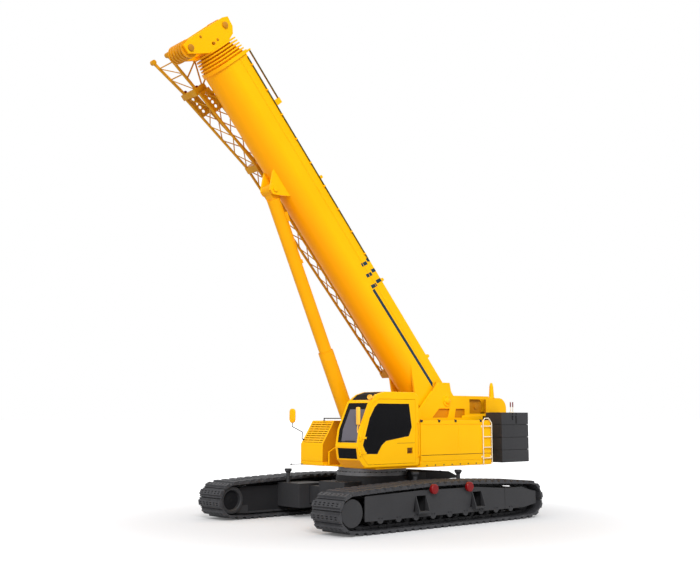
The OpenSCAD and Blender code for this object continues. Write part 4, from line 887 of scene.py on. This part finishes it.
# Cab lamp, mirror and wiper
# A round work lamp stands on the roof's front corner, a tall mirror hangs on
# the left pillar and a wiper is parked along the foot of the windscreen.
LAMP_AT = Vector((1.47, 1.545, 2.985))
LAMP_FOOT_LOW, LAMP_FOOT_HIGH = Vector((-0.02, -0.015, -0.085)), Vector((0.02, 0.015, -0.04))
LAMP_BOWL = ((0, -0.05), (0.03, -0.045), (0.055, -0.02), (0.06, 0.02), (0.06, 0.04), (0.052, 0.042),
             (0.05, 0.03), (0, 0.034))
WIPER_AT, WIPER_CAP = (1.895, 0.98, 1.95), ((0, 0.03), (0.02, 0.026), (0.024, 0), (0, 0))
WIPER_ARM = ((1.905, 0.98, 1.95), (1.90, 1.44, 1.965))
WIPER_BLADE = ((1.893, 1.16, 1.957), (1.913, 1.50, 1.975))
PILLAR_SHELL = ((1.785, 1.44, 2.34), (1.835, 1.56, 2.75))
PILLAR_ARM = (((1.81, 1.5, 2.35), (1.835, 1.5, 2.24)), ((1.835, 1.5, 2.245), (1.845, 1.52, 2.16)))
# The lamp and mirror shells have a paler, glossier amber enamel.
amber_lamp = sprayed_paint("amber_lamp_enamel", "FFC542", "FAB733", 0.3, 0.3, 20, 0.02)
cab_lamp = bmesh.new()
add_turned(cab_lamp, LAMP_BOWL, LAMP_AT, (1, 0.1, -0.1), 28)
add_block(cab_lamp, LAMP_AT + LAMP_FOOT_LOW, LAMP_AT + LAMP_FOOT_HIGH, round_by=0.005)
make_piece("cab_lamp", cab_lamp, amber_lamp, "upper")
pillar_mirror = bmesh.new()
add_block(pillar_mirror, *PILLAR_SHELL, round_by=0.022, segments=4)
for start, end in PILLAR_ARM:
    add_rod(pillar_mirror, start, end, ARM_R, 10)
make_piece("pillar_mirror", pillar_mirror, amber_lamp, "upper")
wiper = bmesh.new()
add_rod(wiper, *WIPER_ARM, 0.008, 8)
add_block(wiper, *WIPER_BLADE, round_by=0.004)
add_turned(wiper, WIPER_CAP, WIPER_AT, (0.95, 0, 0.17), 16)
make_piece("screen_wiper", wiper, black_rubber, "upper")


# Cab seat
# A sprung operator's seat on a moulded pedestal. Foam cushions are covered in
# black woven vinyl and crowned, with their sides drawn in between the corners.
WAVE_RATE = 20


def woven_vinyl(name, tone, thread_mm):
    """Coated weave with a soft sheen. The wave texture repeats every 2 pi over its rate and scale,
    so a thread is drawn about six times as wide as it is, coarse enough to show."""
    made, tree, place = new_finish(name)
    weave = add_node(tree, "TexWave", values={"Scale": 1000 / thread_mm / WAVE_RATE, "Distortion": 1.5},
                     links={"Vector": place})
    shade = add_node(tree, "MapRange", values={"To Min": 0.6, "To Max": 0.85},
                     links={"Value": weave.outputs[1]})
    nap = add_node(tree, "Bump", values={"Strength": 0.3, "Distance": 0.001},
                   links={"Height": weave.outputs[1]})
    face = add_node(tree, "BsdfPrincipled", values={"Base Color": srgb(tone), "Sheen Weight": 0.2},
                    links={"Roughness": shade, "Normal": nap})
    add_node(tree, "OutputMaterial", links={"Surface": face})
    return made


def add_cushion(mesh, low, high, crown):
    low, high = Vector(low), Vector(high)
    before = set(mesh.verts)
    corners = bmesh.ops.create_cube(mesh, size=2.0)["verts"]
    bmesh.ops.subdivide_edges(mesh, edges=list({e for v in corners for e in v.link_edges}), cuts=5,
                              use_grid_fill=True)
    made = [v for v in mesh.verts if v not in before]
    for v in made:
        x, y, z = v.co
        drawn_in = (-crown * x * (1 - y * y), -crown * y * (1 - x * x))
        v.co += Vector((*drawn_in, 2 * crown * z * (1 - x * x) * (1 - y * y)))
    size = (high - low) / 2
    bmesh.ops.scale(mesh, vec=(size.x, size.y, size.z / (1 + 2 * crown)), verts=made)
    bmesh.ops.translate(mesh, vec=(low + high) / 2, verts=made)


seat_vinyl = woven_vinyl("black_woven_vinyl", "202023", 4)
seat_low, seat_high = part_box("cab_seat")
seat_mid = (seat_low[1] + seat_high[1]) / 2
# Boxes about the middle of the seat: x, half width and z of the cushions and the pedestal.
CROWN = 0.09
CUSHIONS = (("seat_cushion", ("cab_seat",), ((0.37, 0.875, 0.225, 1.67, 1.80),)),
            ("seat_back", (), ((0.305, 0.415, 0.205, 1.80, 2.40), (0.312, 0.398, 0.115, 2.42, 2.575))))
PEDESTAL = ((0.41, 0.81, 0.165, 1.402, 1.46, 0.02), (0.45, 0.77, 0.13, 1.455, 1.60, 0.03),
            (0.38, 0.86, 0.21, 1.60, 1.675, 0.03))
for name, replaced, pads in CUSHIONS:
    cushion = bmesh.new()
    for back, front, half, low, high in pads:
        add_cushion(cushion, (back, seat_mid - half, low), (front, seat_mid + half, high), CROWN)
    padded = make_piece(name, cushion, seat_vinyl, "upper", replaced, 80)
    smoother = padded.modifiers.new("foam", "SUBSURF")
    smoother.levels = 2
    smoother.render_levels = 2
pedestal = bmesh.new()
for back, front, half, low, high, edge in PEDESTAL:
    add_block(pedestal, (back, seat_mid - half, low), (front, seat_mid + half, high), round_by=edge)
for shift in (-0.06, 0.06):
    add_rod(pedestal, (0.36, seat_mid + shift, 2.38), (0.36, seat_mid + shift, 2.45), 0.008, 8)
make_piece("seat_pedestal", pedestal, black_rubber, "upper")


# Cab consoles
# Moulded boxes beside and ahead of the seat, each with levers in ribbed
# boots, and two pedals on the floor.
soften("cab_console", 0.02, black_rubber, "upper", 3)
console_low, console_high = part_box("cab_console")
LEVER_X, LEVER_INSET, CONSOLE_TOP, PEDAL_X, PEDAL_Y, PEDAL_Z = (0.78, 0.92), 0.04, 1.948, 1.17, 0.09, 1.46
LEVER = ((0.036, -0.002), (0.036, 0.012), (0.028, 0.02), (0.038, 0.03), (0.024, 0.04), (0.028, 0.05),
         (0.012, 0.06), (0.01, 0.16), (0.02, 0.17), (0.024, 0.2), (0.016, 0.235), (0, 0.24))
levers = bmesh.new()
for y in (console_low[1] + LEVER_INSET, console_high[1] - LEVER_INSET):
    for x in LEVER_X:
        add_turned(levers, LEVER, (x, y, CONSOLE_TOP), (0.12, 0, 1), 20)
for y in (seat_mid - PEDAL_Y, seat_mid + PEDAL_Y):
    tilted = Matrix.Translation((PEDAL_X, y, PEDAL_Z)) @ Matrix.Rotation(math.radians(-35), 4, "Y")
    add_block(levers, (-0.11, -0.04, -0.008), (0.11, 0.04, 0.008), tilted, 0.006)
make_piece("cab_levers", levers, black_rubber, "upper")


# Boom
# Folded U-section of fine-grain steel, welded along both sides and sprayed
# yellow. Five more sections slide inside it, each with an end collar. Trim is
# laid out along the boom, across it and up from its axis, then turned by BOOM.
BOOM = Matrix.Translation(FOOT) @ Matrix.Rotation(math.radians(-49.1), 4, "Y")
BOOM_HALF, BOOM_TOP, BOOM_LEN = 0.45, 0.285, 10.46
RAIL_N, RAIL_HALF, RAIL_FROM, RAIL_TO = BOOM_TOP + 0.19, 0.021, BOOM_LEN - 1.36, BOOM_LEN - 0.085
COLLAR_STEP, COLLAR_GAP, COLLAR_THIN = 0.075, 0.015, 0.026
WELD_N, WELD_FROM, WELD_R = 0.03, 0.95, 0.007
from_boom = BOOM.inverted()


def on_rail(at, out):
    at = from_boom @ at
    return abs(at.z - RAIL_N) < RAIL_HALF and RAIL_FROM < at.x < RAIL_TO


for part, body in (("boom_base", "boom"), ("boom_head", "section_6")):
    soften(part, 0.006, yellow, body, 2)
# The hand rail and the oil pipe have a dull olive paint that reads as a dark line.
olive_pipe = sprayed_paint("olive_pipe_paint", "5B4F17", "4A4012", 0.45, 0.2, 20, 0.05)
fittings = make_piece("boom_fittings_skin", copy_solid("boom_fittings"), yellow, "boom",
                      ("boom_fittings",))
second_finish(fittings, olive_pipe, on_rail)
along = BOOM.to_3x3() @ Vector((1, 0, 0))
for k in range(2, 7):
    node = "tele_%d" % k
    tube = copy_solid(node)
    back = BOOM_LEN + COLLAR_GAP + (k - 2) * COLLAR_STEP
    heel = [v for v in tube.verts if abs((v.co - FOOT).dot(along) - back) < 0.002]
    bmesh.ops.translate(tube, vec=along * COLLAR_THIN, verts=heel)
    bevel_edges(tube, sharp_edges(tube), 0.005, 2)
    make_piece(node + "_skin", tube, yellow, "section_%d" % k, (node,), 40)
weld = bmesh.new()
for y in (BOOM_HALF + 0.001, -BOOM_HALF - 0.001):
    add_rod(weld, (WELD_FROM, y, WELD_N), (RAIL_TO, y, WELD_N), WELD_R, 6)
make_piece("boom_weld", weld, yellow, "boom", place=BOOM)


# Boom stripes
# Cut vinyl film on both sides: one long blue-green stripe from the foot and
# three pairs of short slashes that step over the top corner.
FILM_OFF, FILM_T = 0.0004, 0.001
STRIPE_FROM, STRIPE_TO, STRIPE_W = (0.547, -0.054), (3.777, -0.102), 0.085
SLASH_AT, SLASH_STEP, SLASH_RISE = (3.86, -0.02), 0.31, 0.045
SLASH_L, SLASH_T, SLASH_TOP = 0.19, 0.10, 0.278


def slash(middle, low, high, lean):
    """The outline of one slash, which leans back towards the foot as it rises."""
    near, far = middle - SLASH_T / 2, middle + SLASH_T / 2
    return ((near, low), (far, low), (far - lean, high), (near - lean, high))


films = [((STRIPE_FROM[0], STRIPE_FROM[1] - STRIPE_W / 2), (STRIPE_TO[0], STRIPE_TO[1] - STRIPE_W / 2),
          (STRIPE_TO[0], STRIPE_TO[1] + STRIPE_W / 2),
          (STRIPE_FROM[0] + STRIPE_W, STRIPE_FROM[1] + STRIPE_W / 2))]
for k in range(3):
    t, n = SLASH_AT[0] + k * SLASH_STEP, SLASH_AT[1] + k * SLASH_RISE
    films += [slash(t, n - SLASH_L / 2, n + SLASH_L / 2, 0.05), slash(t, n + 0.13, SLASH_TOP, 0.04)]
stripes = bmesh.new()
for turn in (1, -1):
    for outline in films:
        film_line = [(t, turn * (BOOM_HALF + FILM_OFF), n) for t, n in outline]
        add_plate(stripes, film_line, (0, turn * FILM_T, 0))
blue_vinyl = sprayed_paint("blue_green_vinyl_film", "0C3440", "0A2C38", 0.4, 0.25, 40, 0.0)
make_piece("boom_stripes", stripes, blue_vinyl, "boom", place=BOOM)


# Boom pipe
# A steel oil pipe, painted olive, runs along the upper left edge of the base
# section in small yellow clips, for the tools at the boom's end.
PIPE_N, PIPE_Y, PIPE_FROM, PIPE_TO, PIPE_R = 0.255, 0.468, 4.50, 10.30, 0.015
CLIPS, CLIP_FROM, CLIP_STEP, CLIP_HALF = 9, PIPE_FROM + 0.15, 0.68, 0.02
pipe = bmesh.new()
add_rod(pipe, (PIPE_FROM, PIPE_Y, PIPE_N), (PIPE_TO, PIPE_Y, PIPE_N), PIPE_R, 12)
make_piece("boom_pipe", pipe, olive_pipe, "boom", place=BOOM)
clips = bmesh.new()
for i in range(CLIPS):
    t = CLIP_FROM + i * CLIP_STEP
    add_block(clips, (t - CLIP_HALF, BOOM_HALF - 0.003, PIPE_N - 0.034),
              (t + CLIP_HALF, PIPE_Y + 0.017, PIPE_N + 0.02), round_by=0.005)
make_piece("boom_pipe_clips", clips, yellow, "boom", place=BOOM)


# Boom head sheaves
# Cast sheaves with turned rope grooves, sprayed with the head. Brown grease
# shows on the pin ends.
sheave_paint = sprayed_paint("sheave_yellow_enamel", "E9A00C", "D8900A", 0.4, 0.2, 26, 0.03)
show("sheaves_low", sheave_paint)
show("sheaves_top", sheave_paint)
HEAD_PIN_T, HEAD_PIN_N, HEAD_PIN_Y, HEAD_PLATE_Y = 11.165, (-0.95, 0.245), 0.374, 0.35
PIN_END = ((0, 0.018), (0.05, 0.016), (0.075, 0.008), (0.08, -0.02), (0, -0.02))
HEAD_BOLTS = ((11.248, -0.548), (10.986, -0.161), (10.965, -0.301))
greased = bmesh.new()
for n in HEAD_PIN_N:
    for turn in (1, -1):
        add_turned(greased, PIN_END, (HEAD_PIN_T, turn * HEAD_PIN_Y, n), (0, turn, 0), 24)
for t, n in HEAD_BOLTS:
    for turn in (1, -1):
        add_bolt(greased, (t, turn * HEAD_PLATE_Y, n), (0, turn, 0), 0.022)
brown_grease = sprayed_paint("brown_pin_grease", "C98507", "B57604", 0.35, 0.3, 14, 0.0)
make_piece("head_pin_ends", greased, brown_grease, "section_6", place=BOOM)


# Stowed jib
# A lattice of drawn tube with fish-mouth welds and burnt-out lightening holes,
# sprayed yellow and painted a duller yellow as painted shade. Red pins lock its
# fork for the road.
jib_painted_shade = sprayed_paint("jib_yellow_painted_shade", "D9980E", "C4860C", 0.4, 0.18, 26, 0.03)
show("jib_lower", jib_painted_shade)
JIB_END, FORK_Y, LOCK_Y = 10.17, (-0.70, -1.36), (-0.74, -1.24)
# Points of the fork along the boom, across and up: its arms, rungs, lacing and struts.
ARM_NEAR, ARM_FAR = (11.25, FORK_Y[0], -0.84), (11.25, FORK_Y[1], -0.84)
RUNG_A, RUNG_B = (10.70, -0.72, -0.731), (10.70, -1.295, -0.731)
RUNG_C, RUNG_D = (11.06, -0.707, -0.802), (11.06, -1.337, -0.802)
STRUT_TOP, STRUT_Y, BRACKET_T, BRACKET_Y = (10.80, -0.72, -0.24), -0.72, (9.80, 9.66), -0.448
FORK_EYES = ((ARM_NEAR, 0.05, 0.062, 24), (ARM_FAR, 0.05, 0.062, 24), (STRUT_TOP, 0.03, 0.04, 20))
FORK_RODS = (((10.24, LOCK_Y[0], -0.64), ARM_NEAR, 0.038), ((10.24, LOCK_Y[1], -0.64), ARM_FAR, 0.038),
             (RUNG_A, RUNG_B, 0.016), (RUNG_C, RUNG_D, 0.016), (RUNG_A, RUNG_D, 0.013),
             ((10.26, -0.76, -0.66), RUNG_B, 0.013), ((10.26, -0.74, -0.42), STRUT_TOP, 0.02),
             ((10.56, -0.727, -0.70), STRUT_TOP, 0.02),
             ((10.24, STRUT_Y, -0.40), (10.435, -0.462, -0.27), 0.02),
             ((10.12, STRUT_Y, -0.40), (BRACKET_T[0], BRACKET_Y, -0.30), 0.022),
             ((10.12, STRUT_Y, -0.55), (BRACKET_T[1], BRACKET_Y, -0.30), 0.022))
LOCK_PIN = ((0, 0.05), (0.03, 0.046), (0.034, 0.03), (0.034, -0.03), (0.03, -0.046), (0, -0.05))
fork = copy_solid("jib_upper")
bmesh.ops.transform(fork, matrix=from_boom, verts=fork.verts)
bmesh.ops.bisect_plane(fork, geom=fork.verts[:] + fork.edges[:] + fork.faces[:],
                       plane_co=(JIB_END - 0.035, 0, 0), plane_no=(1, 0, 0), clear_outer=True)
bmesh.ops.holes_fill(fork, edges=[e for e in fork.edges if e.is_boundary])
add_block(fork, (JIB_END - 0.07, -0.86, -0.74), (JIB_END + 0.10, -0.69, -0.36), round_by=0.012)
add_block(fork, (JIB_END - 0.06, -1.30, -0.73), (JIB_END + 0.09, -0.85, -0.58), round_by=0.012)
for start, end, radius in FORK_RODS:
    add_rod(fork, start, end, radius, 10)
for (t, y, n), half, radius, sides in FORK_EYES:
    add_rod(fork, (t, y - half, n), (t, y + half, n), radius, sides)
for t in BRACKET_T:
    add_block(fork, (t - 0.05, BRACKET_Y - 0.027, -0.35), (t + 0.05, BRACKET_Y - 0.001, -0.25),
              round_by=0.008)
make_piece("jib_fork", fork, jib_painted_shade, "boom", ("jib_upper",), place=BOOM)
jib_pins = bmesh.new()
for y in LOCK_Y:
    add_turned(jib_pins, LOCK_PIN, (JIB_END + 0.11, y, -0.60), (0, 1, 0), 20)
make_piece("jib_lock_pins", jib_pins, red_gloss, "boom", place=BOOM)


# Lift cylinder
# A long single-stage cylinder, painted a more orange yellow than the boom as
# painted shade. Its barrel hangs on the boom lug with a valve block and pipe,
# and a guard tube covers the rod below.
cylinder_painted_shade = sprayed_paint("cylinder_orange_painted_shade", "F6A806", "F0A205", 0.34, 0.09, 26, 0.02)
for part in ("lift_barrel", "lift_rod"):
    soften(part, 0.006, cylinder_painted_shade, part, 2)
LUG_PIN = Vector((3.312, 0, 7.939))
lean = math.atan2(LUG_PIN.z - LOW_PIN.z, LOW_PIN.x - LUG_PIN.x)
LIFT = Matrix.Translation(LUG_PIN) @ Matrix.Rotation(lean, 4, "Y")
VALVE_BLOCK = ((0.62, -0.06, -0.25), (0.86, 0.06, -0.14))
VALVE_PIPE = ((0.84, 0.02, -0.20), (1.9, 0.02, -0.185))
PIPE_CLAMP = ((1.84, -0.02, -0.21), (1.94, 0.06, -0.14))
valve = bmesh.new()
add_block(valve, *VALVE_BLOCK, round_by=0.01)
add_rod(valve, *VALVE_PIPE, 0.014, 10)
add_block(valve, *PIPE_CLAMP, round_by=0.008)
make_piece("lift_valve", valve, cylinder_painted_shade, "lift_barrel", place=LIFT)
